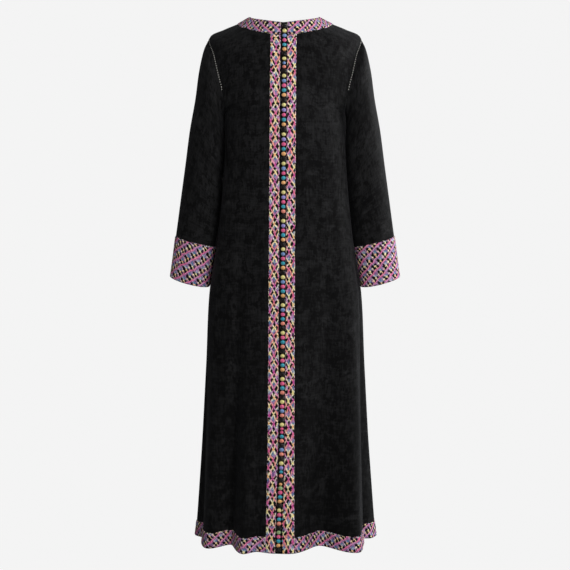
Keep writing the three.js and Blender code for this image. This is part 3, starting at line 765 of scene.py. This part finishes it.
ball = add(tree, "GeometryNodeMeshUVSphere", 12, 8, 1.0)
marked = add(tree, "GeometryNodeStoreNamedAttribute", ball.outputs[0], None, "ball",
             add(tree, "GeometryNodeInputPosition").outputs[0], data_type="FLOAT_VECTOR", domain="POINT")
direction = direction_of(tree, "forward")
scale = add(tree, "GeometryNodeInputNamedAttribute", "size", data_type="FLOAT").outputs[0]
turned = add(tree, "FunctionNodeAlignRotationToVector", None, 1.0, direction, axis="Z")
halves = add(tree, "ShaderNodeCombineXYZ", source.outputs["Half Width"], source.outputs["Half Height"],
             source.outputs["Half Depth"])
raised = add(tree, "GeometryNodeSetPosition", source.outputs["Points"],
             named={"Offset": resized(direction, source.outputs["Stand Off"])})
put_on(raised.outputs[0], marked.outputs[0], turned.outputs[0], resized(halves.outputs[0], scale),
       source, sink)

colour = [SILKS.index(letter) for letter in letters.upper()]
points = points_mesh("button_points", places, forward=forward, size=size, silk=colour)
buttons = bake_tree("ball_buttons", points, tree, Half_Width=BALL[0], Half_Height=BALL[1],
                    Half_Depth=BALL[2], Stand_Off=0.5 * MM + BALL[2], Material=silk)

# %% [markdown]
# Each loop that a ball slips through ends in a small knot beside it, of the same silk. The knots are the
# same tree with smaller balls, and they show more towards the hem, where the fronts part a little.

# %% Knots beside the buttons
KNOTS = 13  # how many of the lowest loops show their knot
KNOT_OUT = (7.6, 11.0)  # how far beside its button the highest and the lowest knot lies, in millimetres
KNOT_SIZE = (0.4, 0.66)
KNOT_WIDTH = 0.8  # a knot is narrower than a ball
beside = [1, 0, 0] * np.linspace(*KNOT_OUT, KNOTS)[:, None] * MM
points = points_mesh("knot_points", places[-KNOTS:] + beside, forward=forward[-KNOTS:],
                     size=np.linspace(*KNOT_SIZE, KNOTS), silk=colour[-KNOTS:])
knots = bake_tree("loop_knots", points, tree, Half_Width=BALL[0] * KNOT_WIDTH, Half_Height=BALL[1],
                  Half_Depth=BALL[2], Stand_Off=1.2 * MM, Material=silk)

# %% [markdown]
# ## Loops and stitches
# A dark cord ring lies round the foot of every ball: the loop that holds it. Along each armhole runs a
# saddle stitch in pale thread, sewn by hand, one short bar after another. Both are one small shape on many
# points.

# %% Loops round the balls
LOOP_OUT = 1.6 * MM  # how far a loop stands off the cloth
tree, source, sink = group("button loops", "GeometryNodeTree", {
    "Points": "Geometry", "Reach": 0.0076, "Squeeze": 0.76, "Cord": 0.001, "Material": "Material"},
    {"Loops": "Geometry"})
ring = add(tree, "GeometryNodeCurvePrimitiveCircle",
           named={"Resolution": 10, "Radius": source.outputs["Reach"]})
squeeze = add(tree, "ShaderNodeCombineXYZ", 1.0, source.outputs["Squeeze"], 1.0)
oval = add(tree, "GeometryNodeTransform", ring.outputs[0], named={"Scale": squeeze.outputs[0]})
profile = add(tree, "GeometryNodeCurvePrimitiveCircle",
              named={"Resolution": 5, "Radius": source.outputs["Cord"]})
tube = add(tree, "GeometryNodeCurveToMesh", oval.outputs[0], profile.outputs[0])
turned = add(tree, "FunctionNodeAlignRotationToVector", None, 1.0, direction_of(tree, "forward"), axis="Z")
put_on(source.outputs["Points"], tube.outputs[0], turned.outputs[0], None, source, sink)
points = points_mesh("loop_points", places + forward * LOOP_OUT, forward=forward)
loops = bake_tree("button_loops", points, tree, Reach=6.6 * MM, Squeeze=0.8, Cord=1.0 * MM, Material=cord)

# %% Saddle stitches round the armholes
STITCH_PITCH = 6.6 * MM
STITCH = (1.3 * MM, 1.3 * MM, 1.0 * MM)  # half length, half width, half height
STITCH_END = {"front": 0.205, "back": 0.23}  # the drop, in metres, at which each face's stitching ends
STITCH_UP = 0.5 * MM  # how far a stitch's middle stands off the cloth
SEWN_AT, INSIDE_IT = 0.993, 0.96  # the stitching's share of a face's width, and a share a little way in
tree, source, sink = group("saddle stitches", "GeometryNodeTree", {
    "Points": "Geometry", "Half Length": 0.002, "Half Width": 0.001, "Half Height": 0.0007,
    "Material": "Material"}, {"Stitches": "Geometry"})
bar = add(tree, "GeometryNodeMeshUVSphere", 8, 6, 1.0)
halves = add(tree, "ShaderNodeCombineXYZ", source.outputs["Half Width"], source.outputs["Half Height"],
             source.outputs["Half Length"])
lying = add(tree, "FunctionNodeAlignRotationToVector", None, 1.0, direction_of(tree, "along"), axis="Z")
turned = add(tree, "FunctionNodeAlignRotationToVector", lying.outputs[0], 1.0, direction_of(tree, "forward"),
             axis="Y", pivot_axis="Z")
put_on(source.outputs["Points"], bar.outputs[0], turned.outputs[0], halves.outputs[0], source, sink)

# %% Where the stitches go
stitches = {}
seam_rows = np.linspace(SHOULDER_ROW, UNDERARM_ROW, 700)
for name, side in SIDES.items():
    seams = []
    for face, front in (("front", -1), ("back", 1)):
        seam, inner = (body_point(face, side, share, seam_rows) for share in (SEWN_AT, INSIDE_IT))
        run, place_at, way_at = along_line(seam)
        spots = np.arange(STITCH_PITCH / 2, np.interp(STITCH_END[face], -seam[:, 2], run), STITCH_PITCH)
        at, way = place_at(spots), way_at(spots)
        way /= np.linalg.norm(way, axis=1, keepdims=True)
        up = np.cross(way, place_at(spots, inner) - at)
        up /= np.linalg.norm(up, axis=1, keepdims=True)
        up *= np.sign((up * [side, front, 0.3]).sum(1, keepdims=True))
        seams.append((at + up * STITCH_UP, way, up))
    at, way, up = (np.concatenate(parts) for parts in zip(*seams))
    points = points_mesh("stitch_points", at, along=way, forward=up)
    stitches[name] = bake_tree(f"armhole_stitches_{name}", points, tree, Half_Length=STITCH[0],
                               Half_Width=STITCH[1], Half_Height=STITCH[2], Material=thread)

# %% [markdown]
# ## The black jacquard
# The cloth is black on black: a soft nap with flowers and leaves that show only because their weave turns
# the light a little differently. The pattern is charted on staggered cells, bent by noise so that it looks
# grown, and rubbed away in patches. A picture could be used instead, but a rule stays sharp at any
# distance.

# %% Shader helpers
def srgb(red, green, blue):
    """A screen colour as the shaders need it."""
    return tuple(c / 12.92 if c <= 0.04045 else ((c + 0.055) / 1.055) ** 2.4
                 for c in (red, green, blue)) + (1.0,)


def tree_of(*values):
    """The node tree of the first socket among the values."""
    return next(value.id_data for value in values if isinstance(value, bpy.types.NodeSocket))


def calc(operation, *values):
    """One step of arithmetic with sockets and numbers."""
    return add(tree_of(*values), "ShaderNodeMath", *values, operation=operation).outputs[0]


plus, minus, times, over, most, least, times_plus = (
    partial(calc, operation) for operation in
    ("ADD", "SUBTRACT", "MULTIPLY", "DIVIDE", "MAXIMUM", "MINIMUM", "MULTIPLY_ADD"))


def mix(factor, a, b):
    """The first colour where the factor is 0, the second where it is 1."""
    new = tree_of(factor, a, b).nodes.new("ShaderNodeMix")
    new.data_type = "RGBA"
    for socket, value in zip((new.inputs[0], new.inputs[6], new.inputs[7]), (factor, a, b)):
        fill(socket, value)
    return new.outputs[2]


def noise(vector, scale, detail=2.0, roughness=0.5, dimensions="2D", output="Fac"):
    """A cloudy value from 0 to 1, or a cloudy colour."""
    return add(tree_of(vector), "ShaderNodeTexNoise", noise_dimensions=dimensions, named={
        "Vector": vector, "Scale": scale, "Detail": detail, "Roughness": roughness}).outputs[output]


def ramp(value, low, high):
    """0 below low, 1 above high, smooth between."""
    return add(tree_of(value), "ShaderNodeMapRange", value, low, high, 0.0, 1.0,
               interpolation_type="SMOOTHSTEP").outputs[0]


def fade(value, low, high):
    """1 below low, 0 above high, smooth between."""
    return minus(1.0, ramp(value, low, high))


def vector_math(operation, *values):
    """One step of arithmetic with directions or colours."""
    return add(tree_of(*values), "ShaderNodeVectorMath", *values, operation=operation).outputs[0]


def parts(vector):
    """A vector's three parts."""
    return add(vector.id_data, "ShaderNodeSeparateXYZ", vector).outputs


print("middle grey in a shader", [round(c, 3) for c in srgb(0.5, 0.5, 0.5)])

# %% Jacquard group
CELL = (0.118, 0.142)  # the flowers' repeat, in metres
FLOWERS = [  # shift across and along, in cells; petals; size in metres; how far in it goes between petals
    (0.0, 0.0, 6.0, 0.034, 0.32), (0.5, 0.05, 3.0, 0.03, 0.55), (0.3, 0.45, 2.0, 0.032, 0.6)]
CLOUDS = [  # how the nap varies: stretch across and along, scale, detail, weight
    (1.0, 1.0, 9.0, 2.0, 0.7), (1.0, 0.8, 60.0, 3.0, 0.7),
    (1.0, 0.2, 210.0, 3.0, 1.1), (0.2, 1.0, 190.0, 3.0, 0.9)]
THREADS = (2 * math.pi / 0.0011, 2 * math.pi / 0.0008, 0)  # the cloth's own threads, 1.1 and 0.8 mm a turn
# Where the plain nap lies between the ground's and the figure's colour, and what a figure and a worn
# patch add to that.
NAP_LIGHT, FIGURE_LIGHT, WORN_LIGHT = 0.25, 0.26, -0.42
PAINTED_LIGHT_ABOVE = 0.14  # painted light: how much lighter the nap is painted at the chest than at the hem
jacquard, source, sink = group(
    "black jacquard", "ShaderNodeTree",
    {"UV": "Vector", "Ground": (0.003, 0.003, 0.0032, 1), "Figure": (0.021, 0.021, 0.022, 1)},
    {"Color": "Color", "Roughness": "Float", "Height": "Float"})
uv = source.outputs["UV"]
ragged = noise(uv, 75.0, 4.0, 0.65)
bent = vector_math("SUBTRACT", noise(uv, 16.0, 4.0, output="Color"), (0.5, 0.5, 0.5))
bent = vector_math("ADD", uv, vector_math("MULTIPLY", bent, (0.07, 0.07, 0)))


def flower(shift_u, shift_v, petals, size, bloom):
    """A mask of one petalled figure in every staggered cell, with a ragged, worn outline."""
    at = parts(bent)
    v = plus(over(at[1], CELL[1]), shift_v)
    row = calc("FLOOR", v)
    u = plus(plus(over(at[0], CELL[0]), shift_u), times(row, 0.5))
    x, y = (times(minus(calc("FRACT", place), 0.5), cell) for place, cell in zip((u, v), CELL))
    far = calc("SQRT", plus(times(x, x), times(y, y)))
    turn = times(calc("ARCTAN2", y, x), petals)
    reach = times_plus(calc("COSINE", turn), bloom * size, (1 - bloom) * size)
    reach = plus(reach, times_plus(ragged, 0.03, -0.015))
    return ramp(minus(reach, far), -0.007, 0.008)


figure = most(most(flower(*FLOWERS[0]), flower(*FLOWERS[1])), flower(*FLOWERS[2]))
figure = times(figure, ramp(noise(uv, 13.0, 3.0), 0.42, 0.62))
print(len(FLOWERS), "figures in each cell")

# %% Nap and weave
light = times_plus(figure, FIGURE_LIGHT, NAP_LIGHT)
for across, along, scale, detail, weight in CLOUDS:
    cloud = noise(vector_math("MULTIPLY", uv, (across, along, 1.0)), scale, detail, 0.62)
    light = plus(light, times_plus(cloud, weight, -weight / 2))
worn = ramp(noise(vector_math("MULTIPLY", uv, (1.0, 0.8, 1.0)), 46.0, 3.0, 0.7), 0.55, 0.6)
light = times_plus(worn, WORN_LIGHT, light)
# Painted light: the nap is painted lighter high up, at the chest and the shoulders, and darker towards the
# hem and the cuffs.
light = plus(light, times_plus(ramp(parts(uv)[1], -1.2, -0.2), PAINTED_LIGHT_ABOVE, -PAINTED_LIGHT_ABOVE / 2))
threads = parts(vector_math("MULTIPLY", uv, THREADS))
weave = times(calc("SINE", threads[0]), calc("SINE", threads[1]))
hairs = noise(vector_math("MULTIPLY", uv, (1.0, 0.3, 1.0)), 900.0, 2.0, 0.7)
height = times_plus(weave, 0.05, times(hairs, 0.25))
height = times_plus(ragged, 0.5, times_plus(figure, 0.2, height))
fill(sink.inputs["Color"], mix(light, source.outputs["Ground"], source.outputs["Figure"]))
fill(sink.inputs["Roughness"], times_plus(figure, -0.08, 0.84))
fill(sink.inputs["Height"], height)
print(len(jacquard.nodes), "nodes in the jacquard")

# %% Material helpers
def fabric(name, specular, sheen=0.0, sheen_roughness=0.4, sheen_tint=(1, 1, 1, 1)):
    """A material, its tree and its Principled shader, whose even values are set on its own sockets."""
    material = bpy.data.materials.get(name) or bpy.data.materials.new(name)
    material.use_nodes = True
    shader = material.node_tree.nodes["Principled BSDF"]
    for socket, value in (("Specular IOR Level", specular), ("Sheen Weight", sheen),
                          ("Sheen Roughness", sheen_roughness), ("Sheen Tint", sheen_tint)):
        shader.inputs[socket].default_value = value
    return material, material.node_tree, shader


def use_group(tree, made):
    """A group in a material, on the piece's own UV map."""
    new = tree.nodes.new("ShaderNodeGroup")
    new.node_tree = made
    fill(new.inputs["UV"], add(tree, "ShaderNodeUVMap", uv_map="UVMap").outputs[0])
    return new


def carried(tree, name, output="Fac"):
    """A value that the mesh carries under a name."""
    return add(tree, "ShaderNodeAttribute", attribute_name=name).outputs[output]


def finish(shader, colour, roughness, height, distance, strength):
    """Joins a colour, a roughness and a bump to a shader."""
    fill(shader.inputs["Base Color"], colour)
    fill(shader.inputs["Roughness"], roughness)
    bump = add(shader.id_data, "ShaderNodeBump",
               named={"Distance": distance, "Strength": strength, "Height": height})
    fill(shader.inputs["Normal"], bump.outputs[0])


print("material helpers ready")

# %% Jacquard material
INSIDE = (0.004, 0.004, 0.0043, 1)  # the cloth's inner face has no figure
black, tree, shader = fabric("black_jacquard", specular=0.09, sheen=0.05, sheen_tint=(0.9, 0.92, 1.0, 1))
look = use_group(tree, jacquard)
finish(shader, mix(carried(tree, "inside"), look.outputs["Color"], INSIDE), look.outputs["Roughness"],
       look.outputs["Height"], distance=0.0012, strength=0.6)
for piece in cloth.values():
    piece.data.materials.append(black)
print(black.name, "on", len(cloth), "pieces")

# %% [markdown]
# ## The tape's colours
# The tape is woven in pinks, creams and blues over a nearly black ground. Counting strands on the two
# slanting axes tells which strand is on top at any point, and its number gives its colour. Where no strand
# lies, the gap is dark, or, where it is wide both ways, often holds a blue or lilac lozenge. On the edge
# tape one direction lies on top at most crossings, and a thin lilac strand runs beside the pink ones. The
# same counts made the relief, so colour and form agree.

# %% Braid group
braid, source, sink = group(
    "woven braid", "ShaderNodeTree",
    {"UV": "Vector", "First": "Vector", "Second": "Vector", "First Pale": 1.6, "Second Pale": 1.6,
     "First Half": 0.4, "Second Half": 0.4, "First On Top": 0.0, "Border": 9.0},
    {"Color": "Color", "Roughness": "Float", "Height": "Float"})
MAGENTA, ROSE, PINK = srgb(0.80, 0.27, 0.60), srgb(0.92, 0.42, 0.60), srgb(0.96, 0.64, 0.75)
LILAC, PURPLE, SALMON = srgb(0.80, 0.57, 0.78), srgb(0.56, 0.34, 0.62), srgb(0.96, 0.62, 0.56)
BLUE, TEAL, MIST = srgb(0.48, 0.57, 0.76), srgb(0.26, 0.54, 0.64), srgb(0.82, 0.87, 0.92)
ORANGE, YELLOW, CREAM = srgb(0.98, 0.75, 0.48), srgb(0.97, 0.92, 0.60), srgb(1.0, 0.95, 0.80)
DARK, WINE = srgb(0.01, 0.005, 0.01), srgb(0.2, 0.0, 0.06)
print("dyes ready")

# %% Counting strands
LILAC_AT, LILAC_HALF = -0.62, 0.18  # the thin lilac strand's place and half width, in counts
uv = source.outputs["UV"]
wander = noise(uv, 240.0, 1.0)  # how far a strand strays over a few millimetres
sway = noise(uv, 70.0, 0.0, output="Color")  # and over a centimetre or two
drift = noise(uv, 55.0, 2.0)  # where one dye gives way to another
fleck = noise(uv, 420.0, 1.0, 0.4)  # single short stitches


def family(axis, seed):
    """One direction's strands: the count, how far a point is from the pink, the pale and the lilac strand,
    the number of the repeat, and whether the point is in the repeat's wide gap."""
    pale, wide = source.outputs[axis + " Pale"], source.outputs[axis + " Half"]
    count = add(braid, "ShaderNodeVectorMath", uv, source.outputs[axis],
                operation="DOT_PRODUCT").outputs["Value"]
    count = plus(count, times_plus(wander, 0.7, -0.35 - COUNT_START))
    count = plus(count, times_plus(parts(sway)[0 if axis == "First" else 1], 1.0, -0.5))
    place = plus(calc("FLOORED_MODULO", count, REPEAT), COUNT_START)
    number = plus(calc("FLOOR", over(count, REPEAT)), seed)
    off = [over(calc("ABSOLUTE", minus(place, at)), half)
           for at, half in ((0.0, wide), (pale, wide), (LILAC_AT, LILAC_HALF))]
    after_pink = times(calc("GREATER_THAN", place, 0.0), calc("LESS_THAN", place, pale))
    in_wide_gap = calc("ABSOLUTE", minus(after_pink, calc("LESS_THAN", pale, REPEAT / 2)))
    return count, off, number, in_wide_gap


def pick(*values):
    """A number from 0 to 1 that is the same all over one crossing."""
    where = add(braid, "ShaderNodeCombineXYZ", *values).outputs[0]
    return add(braid, "ShaderNodeTexWhiteNoise", where, noise_dimensions="3D").outputs["Value"]


first, first_off, first_number, first_wide = family("First", 0.0)
second, second_off, second_number, second_wide = family("Second", 40.0)
chance = pick(first_number, second_number, 0.0)
first_pink, first_pale, first_lilac = (fade(off, 0.88, 1.06) for off in first_off)
second_pink, second_pale, second_lilac = (fade(off, 0.88, 1.06) for off in second_off)
print(len(braid.nodes), "nodes to count the strands")

# %% Strand colours
def strand_colours(pink, other_off, seed):
    """A pink strand is deepest where it meets another pink one, and a pale one is warmest where it meets a
    pale one."""
    own = pick(first_number, second_number, seed)
    deep = mix(ramp(own, 0.3, 0.8), MAGENTA, ROSE)
    soft = mix(ramp(drift, 0.5, 0.6), mix(ramp(own, 0.4, 0.6), PINK, SALMON), LILAC)
    reds = mix(fade(other_off[0], 0.9, 2.2), soft, deep)
    warm = mix(ramp(own, 0.35, 0.65), ORANGE, YELLOW)
    cool = mix(ramp(drift, 0.45, 0.55), SALMON, MIST)
    creams = mix(fade(other_off[1], 0.8, 1.8), mix(ramp(fleck, 0.5, 0.66), CREAM, cool), warm)
    return mix(pink, creams, reds)


first_colour = strand_colours(first_pink, second_off, 3.0)
second_colour = strand_colours(second_pink, first_off, 8.0)

# On the edge tape the first direction's pink strands are deeper, and the second direction is pale.
EDGE_DYE = 0.8  # how fully the edge tape's own colours replace the ones above
on_top = source.outputs["First On Top"]
deep = mix(ramp(chance, 0.3, 0.6), mix(ramp(fleck, 0.42, 0.6), MAGENTA, PINK), LILAC)
deep = mix(ramp(drift, 0.5, 0.58), deep, ROSE)
first_colour = mix(times(times(on_top, first_pink), EDGE_DYE), first_colour, deep)
narrow = mix(ramp(fleck, 0.4, 0.6), CREAM, mix(ramp(drift, 0.46, 0.54), ORANGE, PINK))
wide = mix(ramp(fleck, 0.42, 0.56), LILAC, mix(ramp(drift, 0.4, 0.6), BLUE, MIST))
second_colour = mix(times(on_top, EDGE_DYE), second_colour, mix(first_wide, narrow, wide))
print(len(braid.nodes), "with their colours")

# %% Which strand is on top
# On the edge tape the first direction's pale strand dives out of sight between crossings.
dives = times(on_top, ramp(least(second_off[0], second_off[1]), 1.7, 2.1))
first_pale = times(first_pale, minus(1.0, dives))
first_on, second_on = most(first_pink, first_pale), most(second_pink, second_pale)

# The first direction lies on top, except that a pink strand lies over a pale one. On the edge tape more
# than half of those crossings go the first direction's way too.
under = times(second_pink, minus(1.0, first_pink))
crossing = pick(calc("FLOOR", times(first, 0.5)), calc("FLOOR", times(second, 0.5)), 6.0)
held_down = times(on_top, calc("GREATER_THAN", crossing, 0.42))
first_top = most(held_down, minus(1.0, under))
first_wins = times(first_on, most(first_top, minus(1.0, second_on)))
print(len(braid.nodes), "with the crossings")

# %% The ground between the strands, and the colours together
lozenge = times(times(first_wide, second_wide), calc("GREATER_THAN", crossing, 0.18))
blues = mix(ramp(fleck, 0.42, 0.6), BLUE, mix(ramp(drift, 0.48, 0.54), TEAL, MIST))
lilacs = mix(ramp(chance, 0.3, 0.6), PURPLE, LILAC)
filled = mix(fade(least(first_off[0], second_off[0]), 1.8, 3.0), blues, lilacs)
colour = mix(lozenge, mix(ramp(chance, 0.55, 0.8), DARK, WINE), filled)
thin = times(most(first_lilac, second_lilac), on_top)
colour = mix(thin, colour, mix(ramp(fleck, 0.45, 0.6), LILAC, PURPLE))
colour = mix(second_on, colour, second_colour)
colour = mix(first_wins, colour, first_colour)
print(len(braid.nodes), "with the ground")

# %% The braid's height and painted shade
INLAY_HEIGHT = 0.55  # a lozenge lies lower than a strand
UNDER_HEIGHT = 0.85  # and so does the second direction
THREAD_COUNT = 11.0  # a strand's own threads


def crown(off, on, top):
    """A strand is highest along its middle."""
    return times(on, minus(top, times(off, off)))


tops = [crown(first_off[0], first_pink, 1.0), crown(first_off[1], first_pale, 1.0),
        crown(second_off[0], second_pink, UNDER_HEIGHT), crown(second_off[1], second_pale, UNDER_HEIGHT)]
strand_height = most(most(tops[0], tops[1]), most(tops[2], tops[3]))
strand_height = most(strand_height, times(most(lozenge, thin), INLAY_HEIGHT))
split = times(*(calc("SINE", times(count, THREAD_COUNT)) for count in (first, second)))
grain = noise(uv, 1300.0, 2.0, 0.6)
# Painted shade: a strand's colour is lightest along its middle and darker towards its edges, and the lower
# lozenges and the gaps are darker still. Random grain and the strands' own threads also vary it.
painted_shade_and_grain = times_plus(strand_height, 0.92, 0.26)
painted_shade_and_grain = times(painted_shade_and_grain, times_plus(grain, 0.6, 0.72))
painted_shade_and_grain = times(painted_shade_and_grain, times_plus(split, 0.16, 1.0))
print(len(braid.nodes), "with the relief")

# %% The overcast edge
OVERCAST_PITCH = 4.1 * MM  # the turned edge is sewn over in stitches that go from colour to colour
at = parts(uv)
stitch = pick(calc("FLOOR", over(plus(at[0], at[1]), OVERCAST_PITCH)), 2.0, 5.0)
edging = mix(ramp(stitch, 0.34, 0.36), DARK, PINK)
for low, high, dye in ((0.5, 0.52, CREAM), (0.66, 0.7, MIST), (0.84, 0.88, LILAC)):
    edging = mix(ramp(stitch, low, high), edging, dye)
colour = mix(fade(source.outputs["Border"], 1.1, 1.6), colour, edging)
fill(sink.inputs["Color"], resized(colour, painted_shade_and_grain))
fill(sink.inputs["Roughness"], times_plus(grain, 0.2, 0.62))
fill(sink.inputs["Height"], times_plus(split, 0.25, strand_height))
print(len(braid.nodes), "nodes in the braid")

# %% Tape materials
def tape_material(name, kind, first_on_top):
    """The braid with one kind of tape's counts. first_on_top is 1 for the tape whose first direction lies
    mostly on top."""
    material, tree, shader = fabric(name, specular=0.2, sheen=0.03, sheen_roughness=0.5)
    look = use_group(tree, braid)
    for k, axis in enumerate(("First", "Second")):
        across, along = TILES[kind][k]
        look.inputs[axis].default_value = (across / MM, along / MM, 0)
        look.inputs[axis + " Pale"].default_value = PALE_AT[kind][k]
        look.inputs[axis + " Half"].default_value = STRAND_HALF[kind][k]
    look.inputs["First On Top"].default_value = first_on_top
    fill(look.inputs["Border"], carried(tree, "border"))
    finish(shader, look.outputs["Color"], look.outputs["Roughness"], look.outputs["Height"],
           distance=0.0006, strength=0.7)
    return material


band_weave, edge_weave = tape_material("band_tape", "band", 0.0), tape_material("edge_tape", "edge", 1.0)
for name, piece in tapes.items():
    piece.data.materials.append(band_weave if "band" in name else edge_weave)
print("tape on", len(tapes), "pieces")

# %% [markdown]
# ## Silk, cord and thread
# Wound silk has a satin shine with fine turns round the pole of each ball. One material colours every ball
# from the number that its point carried through the tree.

# %% Silk, cord and thread
SILK_COLOURS = {"K": (0.03, 0.03, 0.034), "Y": (0.93, 0.89, 0.58), "B": (0.47, 0.60, 0.80),
                "L": (0.60, 0.57, 0.83), "P": (0.93, 0.40, 0.58), "T": (0.24, 0.66, 0.74),
                "O": (0.96, 0.72, 0.47), "S": (0.95, 0.58, 0.50), "G": (0.62, 0.73, 0.52)}
RINGS, TURNS_ROUND = 9.0, 11.0  # how closely the thread is wound from pole to pole, and round the pole
_, tree, shader = fabric("wound_silk", specular=0.5, sheen=0.03, sheen_roughness=0.35)
palette = add(tree, "ShaderNodeValToRGB", over(plus(carried(tree, "silk"), 0.5), len(SILKS)))
palette.color_ramp.interpolation = "CONSTANT"
stops = palette.color_ramp.elements
stops.remove(stops[1])
stops[0].color = srgb(*SILK_COLOURS[SILKS[0]])
for k, letter in enumerate(SILKS[1:], 1):
    stops.new(k / len(SILKS)).color = srgb(*SILK_COLOURS[letter])
x, y, z = parts(carried(tree, "ball", "Vector"))
spiral = calc("SINE", times_plus(z, RINGS, times(calc("ARCTAN2", y, x), TURNS_ROUND)))
# Painted shade: each ball is painted lighter at its front pole and darker towards its sides and back, and the
# wound turns add lighter and darker rings.
painted_shade_and_grain = times_plus(spiral, 0.12, times_plus(ramp(z, -0.4, 0.5), 0.75, 0.48))
finish(shader, resized(palette.outputs[0], painted_shade_and_grain), times_plus(spiral, 0.06, 0.33), spiral,
       distance=0.0006, strength=0.6)

for name, colour, scale in (("loop_cord", srgb(0.07, 0.05, 0.06), 900.0),
                            ("stitch_thread", srgb(0.97, 0.96, 0.93), 1400.0)):
    _, tree, shader = fabric(name, specular=0.3, sheen=0.1)
    fuzz = noise(add(tree, "ShaderNodeTexCoord").outputs["Object"], scale, 2.0, 0.6, "3D")
    shaded = tuple(0.6 * c for c in colour[:3]) + (1.0,)
    finish(shader, mix(fuzz, shaded, colour), times_plus(fuzz, 0.3, 0.55), fuzz,
           distance=0.0004, strength=0.5)
print(len(bpy.data.materials), "materials")

# %% [markdown]
# ## Studio
# A pale floor lies well below the hem and curves up into a backdrop far behind, so neither takes a shadow
# from the dress. A large lamp and a weak one stand in front, a third at one side and a fourth behind, and
# draw the folds and the edges of the dark cloth. A little even light from all round keeps detail in its
# hollows.

# %% Floor and backdrop
BACKDROP = srgb(0.953, 0.953, 0.953)
FLOOR_BELOW = 2.2  # how far the floor lies below the hem
WALL_Y, BEND, WALL_TOP = 7.0, 2.0, 8.0
FLOOR_FRONT, HALF_WIDTH = -6.0, 9.0
floor_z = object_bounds()[0].z - FLOOR_BELOW
profile = [(FLOOR_FRONT, floor_z), (WALL_Y - BEND, floor_z)]
profile += [(WALL_Y - BEND + BEND * math.sin(a), floor_z + BEND - BEND * math.cos(a))
            for a in np.linspace(0, math.pi / 2, 24)[1:]]
profile.append((WALL_Y, WALL_TOP))
sweep = bpy.data.meshes.new("backdrop")
sweep.from_pydata([(x, y, z) for x in (-HALF_WIDTH, HALF_WIDTH) for y, z in profile], [],
                  [(k, k + 1, len(profile) + k + 1, len(profile) + k) for k in range(len(profile) - 1)])
sweep.polygons.foreach_set("use_smooth", [True] * len(sweep.polygons))
backdrop = put("backdrop", sweep)
paper, tree, shader = fabric("paper", specular=0.0)
for socket, value in (("Base Color", (0.08, 0.08, 0.08, 1)), ("Roughness", 1.0),
                      ("Emission Color", BACKDROP), ("Emission Strength", 0.99)):
    shader.inputs[socket].default_value = value
sweep.materials.append(paper)
backdrop.visible_diffuse = backdrop.visible_glossy = False
print(f"floor at {floor_z:.2f} m")

# %% Light
SKY = 0.15  # the strength of the even light
LAMPS = [  # name, place, width, power
    ("key", (1.05, -2.5, 0.35), 1.4, 52), ("fill", (-1.7, -2.2, 0.5), 1.8, 4),
    ("side", (2.1, 0.4, 0.1), 0.8, 38), ("behind", (1.5, 1.8, 0.7), 1.4, 14)]
AIM = (0, 0, -0.65)  # all four point at the middle of the dress
world = bpy.data.worlds.new("studio")
world.use_nodes = True
for socket, value in zip(world.node_tree.nodes["Background"].inputs, ((1, 1, 1, 1), SKY)):
    socket.default_value = value
bpy.context.scene.world = world
for name, place, width, power in LAMPS:
    lamp = bpy.data.lights.new(name, "AREA")
    lamp.size, lamp.energy = width, power
    stand = put(name, lamp)
    stand.location = place
    aim = np.array(AIM) - place
    stand.rotation_euler = (math.acos(-aim[2] / np.linalg.norm(aim)), 0,
                            math.atan2(aim[1], aim[0]) - math.pi / 2)
bpy.context.scene.view_settings.view_transform = "Standard"
print(len(LAMPS), "lamps")

# %% [markdown]
# ## Hanging it on the frame
# Every piece moves with the one body and stands for its measured solids.

# %% Bodies
for pieces, slot in ((cloth, "jacquard"), (tapes, "woven_tape")):
    for node, piece in pieces.items():
        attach(piece, "root")
        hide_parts(node)
for piece in (buttons, knots, loops, *stitches.values()):
    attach(piece, "root")
runs = [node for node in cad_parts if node.startswith("buttons_")]
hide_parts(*runs)
print(len(cloth) + len(tapes) + len(runs), "solids replaced")

# %% Flat sizes
FLAT = {  # flat width, length and area of each cut, in metres; those without a "back" come in pairs
    "front": (0.40, 1.37, 0.36), "back": (0.76, 1.36, 0.73), "sleeve": (0.44, 0.66, 0.18),
    "cuff": (0.32, 0.105, 0.033), "neck_tape_front": (0.19, 0.04, 0.006),
    "neck_tape_back": (0.36, 0.04, 0.0105), "front_band": (0.032, 1.32, 0.034),
    "hem_tape_front": (0.38, 0.045, 0.0145), "hem_tape_back": (0.78, 0.045, 0.028),
}


def sewn_to(node):
    """The pieces of cloth that hold this one at its seams."""
    side = node.split("_")[-1]
    if node == "back":
        return ["front_left_cloth", "front_right_cloth"]
    if "sleeve" in node:
        return [f"front_{side}_cloth", "back_cloth"]
    if "cuff" in node:
        return [f"sleeve_{side}_cloth"]
    return ["back_cloth"] if side == "back" or node in cloth else [f"front_{side}_cloth"]


for cut, (width, length, area) in FLAT.items():
    for node in [cut] if "back" in cut else [cut + "_left", cut + "_right"]:
        piece = cloth.get(node) or tapes[node]
        sewn_to(node)
print(len(FLAT), "kinds of cut")
